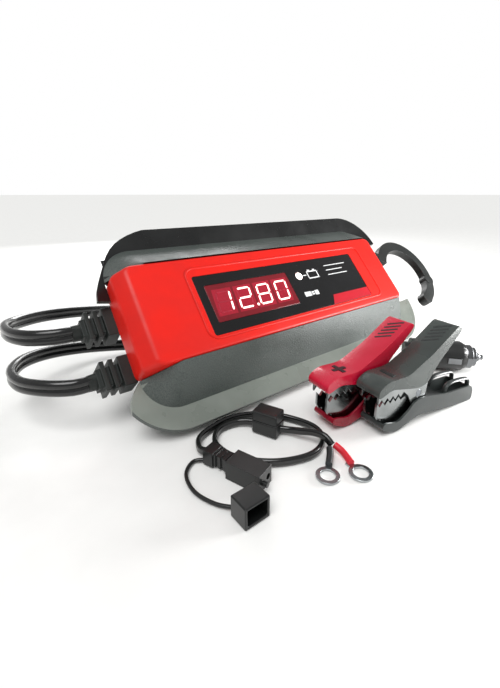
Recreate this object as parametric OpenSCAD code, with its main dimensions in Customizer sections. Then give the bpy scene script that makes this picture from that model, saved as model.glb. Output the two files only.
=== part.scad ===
// Three-amp battery charger and maintainer with its clamps, ring-terminal harness and socket plug.
// The base pad lies on the ground at Z = 0 and the case leans back above it, its long side along X.
// Case pieces are drawn flat in the case's own frame: X along it, Y up the front panel and Z out of it.

/* [Case] */
// Half length of the flat front panel
panel_hl = 100; // [85:1:125]
// Half width of the flat front panel
panel_hw = 27.5; // [25:0.5:34]
// How far each end face stands out past the front panel
end_out = 6; // [4:1:9]
// Depth of the slope between the front panel and each end face
end_slope = 7; // [5:1:9]
// Depth of the joint between the front and back covers
seam_depth = 20; // [20:1:24]
// Depth of the whole case behind the front panel
case_depth = 64; // [60:1:72]
// Half width of the back cover
back_hw = 44; // [42:1:50]
// Inset of the back cover's ends at the joint
back_inset = 3; // [2:1:4]
// Inset of the back cover's ends at the back
back_taper = 18; // [14:1:22]
// Wall of the covers
wall = 2.4; // [2:0.1:3]
// Angle at which the front panel leans back
lean = 48.5; // [44:0.5:52]
// Height of the front panel's middle above the ground
panel_height = 56; // [54:1:62]
// Thickness of the rubber base pad
pad_t = 2; // [1.5:0.5:4]

/* [Side rails] */
// Width of a rail's textured slope
slope_w = 18.1; // [16:0.1:22]
// Drop of a rail's textured slope
slope_drop = 15.8; // [14:0.1:17]
// Width of the smooth lip beyond the slope
lip_w = 11.3; // [9:0.1:14]
// Rise of the smooth lip
lip_rise = 3.5; // [2:0.1:5]
// Wall of a rail
rail_t = 2.4; // [2:0.1:3]
// Distance of the left corner's centre from the end of the front panel
left_corner_in = 12; // [10:1:16]
// Distance of the right corner's centre from the end of the front panel
right_corner_in = 4; // [2:1:10]
// Length of the tab that the upper rail sends down the left end
end_tab = 11; // [6:1:11]

/* [Front details] */
// Label recess, left edge
label_x0 = -66.5; // [-72:0.5:-64]
// Label recess, right edge
label_x1 = 68; // [60:0.5:74]
// Label recess, lower edge
label_y0 = -20.5; // [-21:0.5:-18]
// Label recess, upper edge
label_y1 = 15.5; // [14:0.5:17]
// Depth of the label recess
label_recess = 0.8; // [0.6:0.1:1]
// Thickness of the label
label_t = 0.6; // [0.4:0.1:0.6]
// Display window width
window_w = 60.5; // [55:0.5:61]
// Display window height
window_h = 22.6; // [20:0.1:23]
// Display window centre along the panel
window_x = -31; // [-32:0.5:-29]
// Display window centre up the panel
window_y = -2.4; // [-4:0.1:-1]
// Radius of the status light
led_r = 2.5; // [1.5:0.1:3]
// Status light centre along the panel
led_x = 9.3; // [8:0.1:14]
// Status light centre up the panel
led_y = 4.5; // [0:0.5:8]
// Height of the raised bead round the label
bead_h = 0.5; // [0.3:0.1:0.8]
// Width of the raised bead
bead_w = 1.2; // [0.8:0.1:1.6]

/* [Hanging hook] */
// Outer radius of the hook
hook_ro = 32; // [28:1:36]
// Width of the hook's band
hook_band = 9; // [8:0.5:11]
// Thickness of the hook
hook_t = 6; // [5:0.5:7]
// Radius of the swivel shank
shank_r = 3.2; // [2.5:0.1:3.6]
// Height of the swivel up the panel
hook_y = 14; // [10:1:16]
// Depth of the swivel behind the panel
hook_depth = 13; // [12:1:14]

/* [Strain reliefs] */
// Height of a strain relief's collar up the panel
relief_h = 15.5; // [14:0.5:16]
// Depth of a strain relief's collar
relief_d = 14; // [12:0.5:15]
// Reach of a strain relief past the front panel's end
relief_out = 22; // [20:1:28]
// Height of the mains relief up the panel
mains_y = 8; // [4:1:8]
// Height of the output relief up the panel
output_y = -19; // [-19:1:-17]
// Depth of both reliefs behind the panel
relief_depth = 27; // [27:1:30]

/* [Electronics] */
// Length of the main circuit board
board_l = 148; // [130:1:150]
// Width of the main circuit board
board_w = 60; // [52:1:62]
// Thickness of the circuit boards
board_t = 1.6; // [1.2:0.2:2]
// Depth of the main board's top face behind the panel
board_depth = 44; // [42:1:45]
// Transformer length, width and height
trafo = [40, 34, 22];

/* [Battery clamps] */
// Width of a clamp over its handles
clamp_w = 14; // [14:0.5:15]
// Distance from the pivot to the jaw tips
jaw_l = 30; // [28:1:36]
// Distance from the pivot to the end of the lower handle
handle_l = 46; // [40:1:56]
// Distance along the ground from the pivot to the end of the upper handle
grip_l = 24; // [20:1:30]
// Rise of the upper handle's end above the pivot
grip_rise = 31.5; // [28:0.5:34]
// Radius of the clamp's pivot pin
pivot_r = 2; // [1.6:0.1:2.4]
// Height of the pivot above the ground
pivot_z = 16; // [16:0.5:18]
// Plate thickness of the jaws
jaw_t = 1.2; // [0.8:0.1:1.4]

/* [Socket plug] */
// Radius of the socket plug's barrel
plug_r = 9.5; // [9:0.1:10.5]
// Length of the socket plug's barrel
plug_l = 37; // [30:1:44]
// Radius of the sprung tip contact
tip_r = 3; // [2.5:0.1:4]
// Travel of the tip contact
tip_travel = 2.5; // [1:0.5:3]

/* [Ring harness] */
// Radius of a ring terminal's stud hole
stud_r = 3.2; // [2.1:0.1:4.2]
// Radius of a ring terminal
ring_r = 5; // [4.5:0.1:7]
// Thickness of a ring terminal
ring_t = 0.9; // [0.6:0.1:1.2]
// Length of the fuse holder
fuse_l = 13; // [12:1:18]

/* [Cords] */
// Width of the mains and output leads
lead_w = 8; // [7:0.5:8.5]
// Width of the harness lead
wire_w = 3.6; // [3:0.2:4]
// Width of the dust cap's tether
tether_w = 1.6; // [1.2:0.2:2]

/* [Hidden] */
$fn = 48;

// Named clearances
fit = 0.3;          // between moulded covers
drop_in = 0.15;     // round the window, the label and the light
run = 0.06;         // round a turning shaft
e = 0.01;           // makes a cut run past a face

// Values worked out from the sizes above
case_hl = panel_hl + end_out;
back_hl = case_hl - back_inset;
rear_hl = case_hl - back_taper;
rail_y = panel_hw + fit;
board_y = 5;        // middle of the main board up the panel
corner_l = -(panel_hl - left_corner_in);
corner_r = panel_hl - right_corner_in;
boss_x = 80;
boss_y = [20, -8];
post_x = 66;
post_y = [board_y - board_w / 2 + 6, board_y + board_w / 2 - 6];
rail_screw_x = [-60, 0, 60];
rail_head_r = 2.1;  // head radius of a rail screw
rail_screw_y = min(rail_y + slope_w - 6.5, back_hw - wall - rail_head_r - 0.1);
shoulder = -seam_depth - wall;

// Depth and height at which the back cover's foot slope meets a given line of the case
function foot_z(y) = (pad_t - panel_height - y * sin(lean)) / cos(lean);
function foot_y(z) = (pad_t - panel_height - z * cos(lean)) / sin(lean);
foot_reach = foot_y(-case_depth) * cos(lean) + case_depth * sin(lean);
foot_front = -back_hw * cos(lean) - foot_z(-back_hw) * sin(lean);
foot_mid = (foot_reach + foot_front) / 2;

// Puts a piece drawn in the case's frame where the case stands
module on_case() {
    translate([0, -foot_mid, panel_height]) rotate([lean, 0, 0]) children();
}

// A box given by its two opposite corners
module span(a, b) {
    translate(a) cube(b - a);
}

// A flat rectangle with rounded corners, given by its opposite corners
module rounded(x0, y0, x1, y1, r) {
    hw = (x1 - x0) / 2;
    hh = (y1 - y0) / 2;
    arc = [for (q = [0:3], k = [0:4]) let (a = 90 * q + 22.5 * k)
        [(q == 0 || q == 3 ? 1 : -1) * (hw - r) + r * cos(a),
         (q < 2 ? 1 : -1) * (hh - r) + r * sin(a)]];
    translate([(x0 + x1) / 2, (y0 + y1) / 2]) polygon(arc);
}

// Extrudes an outline drawn in Y and Z along X
module along_x(x0, x1) {
    translate([x0, 0, 0]) rotate([90, 0, 90]) linear_extrude(x1 - x0) children();
}

// Extrudes an outline drawn in X and Z along Y
module along_y(y0, y1) {
    translate([0, y1, 0]) rotate([90, 0, 0]) linear_extrude(y1 - y0) children();
}

// ---------- covers ----------

module front_block(inset) {
    h = case_hl - inset;
    p = panel_hl - inset * 0.6;
    along_y(-panel_hw + inset, panel_hw - inset)
        polygon([[-p, -inset], [p, -inset], [h, -end_slope - inset * 0.4], [h, -seam_depth - inset],
            [-h, -seam_depth - inset], [-h, -end_slope - inset * 0.4]]);
}

module window_cut(gap) {
    hw = window_w / 2 + gap;
    hh = window_h / 2 + gap;
    translate([window_x, window_y, -wall - 1])
        linear_extrude(wall + 2) rounded(-hw, -hh, hw, hh, 1);
}

module front_cover() {
    color("#E31E13") on_case() {
        difference() {
            union() {
                difference() {
                    front_block(0);
                    front_block(wall);
                }
                for (x = [-boss_x, boss_x], y = boss_y)
                    translate([x, y, -seam_depth]) cylinder(r = 4, h = seam_depth - wall + e);
                for (x = [-64, 42], y = [-18, 18])
                    translate([x, y, -11]) cylinder(r = 2.5, h = 11 - wall + e);
            }
            for (x = [-boss_x, boss_x], y = boss_y)
                translate([x, y, -seam_depth - e]) cylinder(r = 1.55, h = 14);
            translate([0, 0, -label_recess])
                linear_extrude(2) rounded(label_x0, label_y0, label_x1, label_y1, 1.5);
            window_cut(drop_in);
            translate([led_x, led_y, -wall - 1]) cylinder(r = led_r + drop_in, h = wall + 2);
            translate([case_hl - wall - 1, hook_y, -hook_depth]) rotate([0, 90, 0])
                cylinder(r = shank_r + run, h = wall + 2);
        }
        linear_extrude(bead_h) difference() {
            rounded(label_x0 - 3.5, label_y0 - 2, label_x1 + 12, label_y1 + 5.5, 5);
            rounded(label_x0 - 3.5 + bead_w, label_y0 - 2 + bead_w,
                label_x1 + 12 - bead_w, label_y1 + 5.5 - bead_w, 5 - bead_w);
        }
    }
}

module back_profile(inset) {
    offset(delta = -inset)
        polygon([[-back_hw, -seam_depth], [-back_hw, foot_z(-back_hw)],
            [foot_y(-case_depth), -case_depth], [back_hw - 5, -case_depth],
            [back_hw, -case_depth + 5], [back_hw, -seam_depth]]);
}

module back_block(inset) {
    intersection() {
        along_x(-case_hl, case_hl) back_profile(inset);
        along_y(-back_hw, back_hw)
            polygon([[-back_hl + inset, -seam_depth], [back_hl - inset, -seam_depth],
                [rear_hl - inset, -case_depth], [-rear_hl + inset, -case_depth]]);
    }
}

module relief_slot(y) {
    span([-case_hl, y - 5, -relief_depth - 4.5], [-case_hl + 20, y + 5, -relief_depth + 4.5]);
}

module back_cover() {
    color("#22272A") on_case() difference() {
        intersection() {
            back_block(0);
            union() {
                difference() {
                    back_block(0);
                    back_block(wall);
                    span([-back_hl + wall, -panel_hw + wall, -seam_depth - wall - 1],
                        [back_hl - wall, panel_hw - wall, 0]);
                }
                for (x = [-boss_x, boss_x], y = boss_y)
                    translate([x, y, -case_depth]) cylinder(r = 5, h = case_depth - seam_depth);
                for (x = [-post_x, post_x], y = post_y)
                    translate([x, y, -case_depth]) cylinder(r = 3, h = case_depth - board_depth - board_t);
            }
        }
        for (x = [-boss_x, boss_x], y = boss_y) {
            translate([x, y, -case_depth - 1]) cylinder(r = 1.8, h = case_depth);
            translate([x, y, -case_depth - 1]) cylinder(r = 3.6, h = 26);
        }
        for (x = [-post_x, post_x], y = post_y)
            translate([x, y, -board_depth - board_t - 6]) cylinder(r = 1.25, h = 10);
        for (x = rail_screw_x, s = [-1, 1])
            translate([x, s * rail_screw_y, shoulder - 1]) cylinder(r = 1.4, h = wall + 2);
        relief_slot(mains_y);
        relief_slot(output_y);
    }
}

module base_pad() {
    color("#1A1C1C") difference() {
        linear_extrude(pad_t)
            rounded(-rear_hl + 8, foot_front - foot_mid + 4, rear_hl - 8, foot_reach - foot_mid - 3, 4);
        for (k = [-6:5])
            translate([k * 12 + 6, -foot_reach, pad_t - 1.2]) translate([-1.5, 0, -5])
                cube([3, 2 * foot_reach, 4.6]);
    }
}

// ---------- rails ----------

// Section of a rail: distance out from the front panel's edge, then height
function rail_points() = let (t = rail_t, k = slope_drop / slope_w, b = slope_w + lip_w)
    [[0, 0], [slope_w, -slope_drop], [b, -slope_drop + lip_rise],
     [b + 0.6, -slope_drop + lip_rise - 2.2], [slope_w + 0.3, -slope_drop - 2.9],
     [slope_w - 1.6, -slope_drop - 2.5], [slope_w - 1.6, -seam_depth],
     [slope_w - 1.6 - t, -seam_depth], [slope_w - 1.6 - t, -(slope_w - 1.6 - t) * k - t],
     [t, -t * k - t], [t, -seam_depth], [0, -seam_depth]];

module rail_section() {
    polygon(rail_points());
}

module rail_corner(x, turn) {
    translate([x, rail_y, 0]) rotate([0, 0, turn]) rotate_extrude(angle = 90) rail_section();
}

module rail_body() {
    translate([0, rail_y, 0]) along_x(corner_l, corner_r) rail_section();
    rail_corner(corner_l, 90);
    rail_corner(corner_r, 0);
}

module rail(tab) {
    difference() {
        union() {
            rail_body();
            for (x = rail_screw_x)
                translate([x, rail_screw_y, -seam_depth]) cylinder(r = 3, h = 5.5);
            if (tab)
                translate([corner_l, rail_y - end_tab, 0]) along_y(0, end_tab)
                    intersection() {
                        mirror([1, 0]) rail_section();
                        translate([-60, -30]) square([60 - (case_hl + corner_l) - fit, 30]);
                    }
        }
        for (x = rail_screw_x)
            translate([x, rail_screw_y, -seam_depth - 1]) cylinder(r = 1.3, h = 7);
    }
}

// Plan outlines that trim each rail's left end, from the centre of its corner
upper_trim = [[-26, -16], [-25.2, -11], [-24, -5.5], [-21, 1], [-14.6, 13.2], [-12.6, 16.4], [-10, 19.6],
    [-6.6, 22.6], [-3, 24.8], [1.5, 26.8], [6.5, 28.4], [12, 29.6], [20, 31]];
lower_trim = [[-16, -2], [-20, 2.2], [-23.4, 6], [-25.5, 9.2], [-26.4, 12.6], [-26.3, 16], [-25.2, 19.4],
    [-23.2, 22.6], [-20.2, 25.4], [-16.6, 27.4], [-12.4, 28.8], [-6, 30], [2, 31]];

module trimmed_rail(tab, trim) {
    far = 3 * panel_hl;
    intersection() {
        rail(tab);
        translate([corner_l, rail_y, -seam_depth - 1]) linear_extrude(seam_depth + 2)
            polygon(concat([[trim[0][0], -60]], trim, [[far, 31], [far, -60]]));
    }
}

module upper_rail() {
    color("#26292B") on_case() trimmed_rail(true, upper_trim);
}

module lower_rail() {
    color("#4A504F") on_case() mirror([0, 1, 0]) trimmed_rail(false, lower_trim);
}

// ---------- front details ----------

module face_label() {
    color("#101012") on_case() difference() {
        translate([0, 0, -label_recess]) linear_extrude(label_t)
            rounded(label_x0 + drop_in, label_y0 + drop_in, label_x1 - drop_in, label_y1 - drop_in, 1.4);
        window_cut(drop_in);
        translate([led_x, led_y, -wall - 1]) cylinder(r = led_r + drop_in, h = wall + 2);
    }
}

module display_window() {
    color("#7A1020") on_case() translate([window_x, window_y, -wall - 0.2])
        linear_extrude(wall)
            rounded(-window_w / 2, -window_h / 2, window_w / 2, window_h / 2, 0.9);
}

module display_module() {
    hw = window_w / 2 - 1.5;
    hh = window_h / 2 - 1;
    color("#30060C") on_case() span([window_x - hw, window_y - hh, -11],
        [window_x + hw, window_y + hh, -wall - 0.2]);
}

module display_board() {
    color("#1F5A36") on_case() span([-68, -22, -11 - board_t], [46, 22, -11]);
}

module status_led() {
    color("#FFF4EE") on_case() {
        translate([led_x, led_y, -11]) cylinder(r = led_r, h = 11);
        translate([led_x, led_y, 0]) intersection() {
            translate([0, 0, -led_r * 0.6]) sphere(r = led_r * 1.1);
            cylinder(r = led_r, h = led_r);
        }
    }
}

// ---------- electronics ----------

module circuit_board() {
    color("#1F5A36") on_case() difference() {
        span([-board_l / 2, board_y - board_w / 2, -board_depth - board_t],
            [board_l / 2, board_y + board_w / 2, -board_depth]);
        for (x = [-post_x, post_x], y = post_y)
            translate([x, y, -board_depth - board_t - 1]) cylinder(r = 1.6, h = board_t + 2);
    }
}

module transformer_core() {
    color("#3A3A3E") on_case() translate([-30, board_y, -board_depth]) difference() {
        translate([-trafo[0] / 2, -trafo[1] / 2, 0]) cube(trafo);
        translate([-trafo[0] / 2 + 5, -trafo[1] / 2 - 1, 5])
            cube([trafo[0] - 10, trafo[1] + 2, trafo[2] - 10]);
    }
}

module transformer_winding() {
    color("#C9A03C") on_case() translate([-30, board_y, -board_depth])
        translate([-trafo[0] / 2 + 5, -trafo[1] / 2 + 2, 5])
            cube([trafo[0] - 10, trafo[1] - 4, trafo[2] - 10]);
}

module capacitors() {
    color("#2B3A6B") on_case() {
        translate([10, 22, -board_depth]) cylinder(r = 8, h = 20);
        translate([2, -12, -board_depth]) cylinder(r = 5, h = 18);
        translate([14, -12, -board_depth]) cylinder(r = 5, h = 18);
    }
}

module heat_sink() {
    color("#B8BCC0") on_case() {
        span([24, 18, -board_depth], [58, 20, -board_depth + 18]);
        for (k = [0:6])
            span([24 + k * 5.3, 20, -board_depth], [26 + k * 5.3, 30, -board_depth + 18]);
    }
}

module power_transistors() {
    color("#1B1B1B") on_case() for (x = [26, 44])
        span([x, 14, -board_depth], [x + 10, 18, -board_depth + 15]);
}

module choke() {
    color("#B4622A") on_case() translate([56, -6, -board_depth + 4])
        rotate_extrude() translate([7, 0]) circle(r = 4);
}

module mains_fuse() {
    color("#D8DCDC") on_case() translate([-70, 10, -board_depth + 3.5]) rotate([0, 90, 0])
        cylinder(r = 2.6, h = 18);
    color("#B8BCC0") on_case() for (x = [-70, -55])
        span([x, 6.5, -board_depth], [x + 3, 13.5, -board_depth + 0.9]);
}

module screw(head_r, head_h, shank, length) {
    difference() {
        union() {
            translate([0, 0, -head_h]) cylinder(r = head_r, h = head_h);
            cylinder(r = shank, h = length);
        }
        translate([-head_r, -0.5, -head_h - 1]) cube([2 * head_r, 1, 1.8]);
        translate([-0.5, -head_r, -head_h - 1]) cube([1, 2 * head_r, 1.8]);
    }
}

module case_screws() {
    color("#8C9094") on_case() for (x = [-boss_x, boss_x], y = boss_y)
        translate([x, y, -case_depth + 25]) screw(3.2, 2.4, 1.5, case_depth - 25 - seam_depth + 10);
}

module rail_screws() {
    color("#8C9094") on_case() for (x = rail_screw_x, s = [-1, 1])
        translate([x, s * rail_screw_y, shoulder]) screw(rail_head_r, 1.4, 1.25, wall + 5.5);
}

module board_screws() {
    color("#8C9094") on_case() for (x = [-post_x, post_x], y = post_y)
        translate([x, y, -board_depth]) mirror([0, 0, 1]) screw(2.6, 1.6, 1.2, board_t + 4);
}

// ---------- hook ----------

hook_ri = hook_ro - hook_band;
hook_cx = case_hl + hook_ro + 5;
hook_cy = hook_y - 20;
hook_a0 = 148;         // where the band starts and ends round its middle
hook_a1 = -76;
hook_knob_a = -24;

module hook() {
    mid = (hook_ro + hook_ri) / 2;
    color("#2A2D2A") on_case() translate([0, 0, -hook_depth]) {
        translate([hook_cx, hook_cy, -hook_t / 2]) rotate([0, 0, hook_a1])
            rotate_extrude(angle = hook_a0 - hook_a1) translate([hook_ri, 0])
                square([hook_band, hook_t]);
        for (a = [hook_a1, hook_knob_a])
            translate([hook_cx + mid * cos(a), hook_cy + mid * sin(a), -hook_t / 2 - 0.5])
                cylinder(r = hook_band / 2 + 0.6, h = hook_t + 1);
        translate([case_hl, hook_y, -hook_t / 2 + 0.2]) linear_extrude(hook_t - 0.4)
            polygon([[1, -7], [1, 7], [6, 7], [17, 0.5], [18.5, -5], [10, -7]]);
        translate([case_hl - wall - 3, hook_y, 0]) rotate([0, 90, 0])
            cylinder(r = shank_r, h = wall + 8);
    }
}

module hook_retainer() {
    color("#8C9094") on_case() translate([case_hl - wall - 2, hook_y, -hook_depth]) rotate([0, 90, 0])
        difference() {
            cylinder(r = shank_r + 2, h = 1.4);
            translate([0, 0, -1]) cylinder(r = shank_r, h = 4);
        }
}

// ---------- strain reliefs ----------

module relief(y) {
    x1 = -panel_hl - relief_out;
    step = relief_out - 4;
    flange_h = min(6.5, panel_hw - wall - abs(y) - drop_in);
    on_case() translate([0, y, -relief_depth]) {
        span([x1, -4.7, -4.2], [-case_hl + 15, 4.7, 4.2]);
        span([-case_hl + 14, -flange_h, -5.6], [-case_hl + 17, flange_h, 5.6]);
        span([-panel_hl - step * 0.62, -relief_h / 2, -relief_d / 2],
            [-panel_hl - step * 0.27, relief_h / 2, relief_d / 2]);
        for (k = [0, 1])
            span([-panel_hl - step * (0.86 + 0.24 * k), -relief_h / 2 + 0.4, -relief_d / 2 + 0.4],
                [-panel_hl - step * (0.74 + 0.24 * k), relief_h / 2 - 0.4, relief_d / 2 - 0.4]);
    }
}

module mains_relief() {
    color("#333A38") relief(mains_y);
}

module output_relief() {
    color("#333A38") relief(output_y);
}

// ---------- cords ----------

// Routes start at the relief, boot or ring that each cord leaves
mains_route = [[-122, 9, 44], [-133, 10, 44], [-144, 18, 43.5], [-150, 32, 42.5], [-150, 50, 41],
    [-143, 67, 38], [-128, 82, 35], [-108, 93, 31], [-84, 105, 25], [-64, 121, 18],
    [-44, 143, 12], [-22, 160, 7.5], [2, 170, 5], [25, 172, 4.5]];
output_route = [[-122, -8.5, 24], [-132, -8, 24], [-143, 0, 24], [-151, 14, 23], [-152, 32, 22],
    [-144, 50, 20], [-129, 62, 17], [-108, 68, 13], [-84, 67, 9], [-58, 60, 6], [-30, 51, 4.5],
    [0, 47, 4.5], [30, 46, 4.5], [60, 48, 4.5], [86, 54, 4.5], [110, 62, 4.5], [135, 67, 4.5]];
harness_route = [[-93, -63, 4], [-94, -57, 2.2], [-90, -50, 2], [-80, -46.5, 2], [-68, -46, 2],
    [-56, -51.5, 2], [-47, -62, 2], [-42, -76, 2], [-46, -86, 2], [-57, -90, 2], [-70, -86, 2],
    [-80, -78, 2], [-86, -68, 2], [-86, -57, 2], [-79, -50, 2], [-69, -51, 2.4], [-63, -57, 3],
    [-59, -66, 3], [-54, -72, 3], [-52, -77, 4.2], [-49.5, -83, 5.8], [-48, -88.5, 6],
    [-47.5, -92.5, 3.6]];
tether_route = [[-95.5, -63.6, 1.6], [-100, -61, 1], [-106, -66, 1], [-108, -76, 1], [-105, -86, 1],
    [-100, -93.4, 1.8]];
red_sleeve_route = [[-45.9, -92.7, 3.2], [-45.6, -97, 2], [-48.1, -103.5, 1.6]];
black_sleeve_route = [[-49.2, -92.7, 3.2], [-51.6, -95, 2], [-56.2, -98.3, 1.6]];

// A point and a direction on the smooth curve through a route's points
function knot(p, i) = p[max(0, min(len(p) - 1, i))];
function curve(p, i, t) = let (a = knot(p, i - 1), b = knot(p, i), c = knot(p, i + 1), d = knot(p, i + 2))
    0.5 * (2 * b + (c - a) * t + (2 * a - 5 * b + 4 * c - d) * t * t + (3 * b - 3 * c + d - a) * t * t * t);
function path(p, n) = [for (i = [0:len(p) - 2], k = [0:n - 1]) curve(p, i, k / n), p[len(p) - 1]];
function unit(v) = v / norm(v);
function heading(q, i) = unit(q[min(len(q) - 1, i + 1)] - q[max(0, i - 1)]);

// Sweeps a flattened round section along a route: height h, thickness w
module lead(p, h, w, n, sides) {
    q = path(p, n);
    rings = [for (i = [0:len(q) - 1]) let (t = heading(q, i), s = unit(cross(t, [0, 0, 1])), u = cross(s, t))
        for (k = [0:sides - 1]) let (a = 360 * (k + 0.5) / sides)
            q[i] + s * (w / 2 * cos(a)) + u * (h / 2 * sin(a))];
    m = len(q);
    skin = [for (i = [0:m - 2], k = [0:sides - 1]) let (a = i * sides + k, b = i * sides + (k + 1) % sides)
        [a, b, b + sides, a + sides]];
    polyhedron(rings, concat([[for (k = [sides - 1:-1:0]) k]], skin,
        [[for (k = [0:sides - 1]) (m - 1) * sides + k]]), convexity = 6);
}

mains_turns_r = 44;      // middle of the mains coil's turns
mains_coil_at = [25, 120];
output_turns_r = 44;     // middle of the output coil's turns
output_coil_at = [135, 115];

module coil(at, mid, columns) {
    half = columns * lead_w / 2;
    translate([at[0], at[1], 0]) rotate_extrude($fn = 64)
        translate([mid - half, 0]) square([2 * half, 2 * lead_w]);
}

module mains_cord() {
    color("#1E2120") lead(mains_route, lead_w, lead_w * 0.6, 3, 8);
}

module mains_coil() {
    color("#1E2120") coil(mains_coil_at, mains_turns_r, 3);
}

module output_cord() {
    color("#1E2120") lead(output_route, lead_w, lead_w * 0.6, 3, 8);
}

module output_coil() {
    color("#1E2120") coil(output_coil_at, output_turns_r, 2);
}

// Two-blade mains plug that lies on its coil
module on_mains_coil() {
    translate([mains_coil_at[0] - mains_turns_r, mains_coil_at[1] + 4, 2 * lead_w]) rotate([0, 0, 90])
        children();
}

module mains_plug() {
    color("#1C1E1E") on_mains_coil() {
        span([-4, -12, 0], [16, 12, 15]);
        span([-14, -8, 2], [-4, 8, 13]);
        span([-24, -5, 4], [-14, 5, 11]);
    }
}

module mains_blades() {
    color("#C9A85A") on_mains_coil() for (s = [-1, 1])
        span([16, s * 6.35 - 0.75, 4.3], [33, s * 6.35 + 0.75, 10.7]);
}

// Quick connector on the output lead: one bare pin, one shrouded socket
module quick_connector() {
    difference() {
        union() {
            span([0, -8, 0], [26, 8, 9]);
            span([-8, -5.5, 1], [0, 5.5, 8]);
            span([26, 0.6, 0.6], [38, 7.4, 8.4]);
        }
        translate([24, 4, 4.5]) rotate([0, 90, 0]) cylinder(r = 2.2, h = 16);
    }
    translate([26, -4, 4.5]) rotate([0, 90, 0]) cylinder(r = 2, h = 11);
}

module output_connector() {
    color("#1C1E1E") translate([output_coil_at[0] - output_turns_r, output_coil_at[1] + 14, 2 * lead_w])
        rotate([0, 0, -90]) quick_connector();
}

// ---------- battery clamps ----------

red_at = [-9.7, -80];
clamp_turn = -8;       // turn of both clamps on the ground
clamp_gap = 1.18;      // between the two clamps
clamp_step = 16.98;    // how far the black clamp's pivot lies behind the red one's
half_w = clamp_w / 2;
black_at = red_at + clamp_step * [cos(clamp_turn), sin(clamp_turn)]
    + (clamp_w + clamp_gap) * [sin(clamp_turn), -cos(clamp_turn)];
upper_in = half_w - 1.4;               // inside of the upper handle's sides
lower_in = upper_in + 0.4;             // inside of the lower handle's sides, past the upper jaw
lower_cheek = upper_in - jaw_t - fit;  // outside of the lower jaw's cheeks

module clamp_at(at) {
    translate([at[0], at[1], 0]) rotate([0, 0, clamp_turn]) children();
}

module upper_handle() {
    difference() {
        along_y(-half_w, half_w) translate([0, pivot_z])
            polygon([[-jaw_l, 5], [-jaw_l - 0.5, 9.5], [-jaw_l + 5, 12.8], [-11, 12.5], [5.5, 20],
                [grip_l, grip_rise], [grip_l + 3, grip_rise - 2], [grip_l + 1.5, grip_rise - 4.3],
                [11, 14.3], [4, 5], [-2, 4], [-10, 5.6], [-jaw_l + 8, 8.3]]);
        along_y(-upper_in, upper_in) translate([0, pivot_z])
            polygon([[-jaw_l + 1, 3], [-jaw_l + 1, 8.6], [-jaw_l + 5.4, 11.4], [-11.4, 11.1], [6, 18.5],
                [grip_l - 2, grip_rise - 3.1], [grip_l + 0.2, grip_rise - 7], [11, 11], [4, 2], [-10, 2],
                [-jaw_l + 8, 4]]);
    }
}

module lower_handle() {
    difference() {
        along_y(-half_w, half_w) translate([0, pivot_z])
            polygon([[-jaw_l + 4, -12], [-16, -16], [-6, -13], [0, -11.5], [26, -15], [handle_l - 4, -16],
                [handle_l, -16], [handle_l + 0.5, -10], [handle_l - 2, -7], [24, -6], [12, -4], [5, -2.5],
                [-3, -2.5], [-8, -7], [-15, -11], [-jaw_l + 5, -8.5]]);
        along_y(-lower_in, lower_in) translate([0, pivot_z])
            polygon([[-jaw_l + 5.4, -7.5], [-jaw_l + 5.6, -10.9], [-16, -14.4], [-6, -11.4], [0, -9.9],
                [26, -13.4], [handle_l - 1.5, -14.3], [handle_l - 1.5, -5], [24, -3], [5, 0], [-3, 0],
                [-8, -5], [-15, -9]]);
    }
}

// Each jaw's side plate runs along its top edge, round the pivot and back along its teeth
teeth_n = 5;           // teeth along one edge
tooth = 2.2;           // depth of a tooth

module upper_jaw() {
    side = concat([[-jaw_l + 1.4, 8.2], [-jaw_l + 5.6, 11], [-11.5, 10.7], [2, 13], [7, 8], [5, -4.5],
            [-5, -4.5], [-8, 1]],
        [for (k = [teeth_n - 1:-1:0], h = [1, 0])
            [-jaw_l + 1.4 + (jaw_l - 11) * (k + h * 0.5) / teeth_n, 1.6 + h * tooth]]);
    difference() {
        for (s = [-1, 1])
            along_y(s > 0 ? upper_in - jaw_t : -upper_in, s > 0 ? upper_in : -upper_in + jaw_t)
                translate([0, pivot_z]) polygon(side);
        translate([0, half_w, pivot_z]) rotate([90, 0, 0]) cylinder(r = pivot_r + run, h = clamp_w);
    }
    along_y(-upper_in + jaw_t, upper_in - jaw_t) translate([0, pivot_z])
        polygon([[-jaw_l + 1.4, 5], [-jaw_l + 1.4, 8.2], [-jaw_l + 5.6, 11], [-11.5, 10.7], [-11.5, 9.5],
            [-jaw_l + 6, 9.8], [-jaw_l + 2.6, 7.6], [-jaw_l + 2.6, 5]]);
}

module lower_jaw() {
    side = concat([[-jaw_l + 2.4, -5], [-jaw_l + 3.5, -7.5], [-jaw_l + 5.8, -7.8], [-jaw_l + 5.8, -10.7],
            [-16, -14.2], [-6, -11.2], [0, -9.7], [8, -10.4], [8, 1], [5, 4.5], [-5, 4.5], [-8, 0]],
        [for (k = [teeth_n - 1:-1:0], h = [1, 0])
            [-jaw_l + 2.4 + (jaw_l - 12) * (k + h * 0.5) / teeth_n, 1.1 - h * tooth]]);
    difference() {
        for (s = [-1, 1])
            along_y(s > 0 ? lower_cheek - jaw_t : -lower_cheek, s > 0 ? lower_cheek : -lower_cheek + jaw_t)
                translate([0, pivot_z]) polygon(side);
        translate([0, half_w, pivot_z]) rotate([90, 0, 0]) cylinder(r = pivot_r, h = clamp_w);
    }
    along_y(-lower_cheek + jaw_t, lower_cheek - jaw_t) translate([0, pivot_z])
        polygon([[-jaw_l + 7, -10], [-jaw_l + 7, -11.2], [-16, -14.2], [-6, -11.2], [-6, -9.7], [-16, -12.7]]);
}

module pivot_pin() {
    translate([0, upper_in, pivot_z]) rotate([90, 0, 0]) cylinder(r = pivot_r, h = 2 * upper_in);
}

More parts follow.
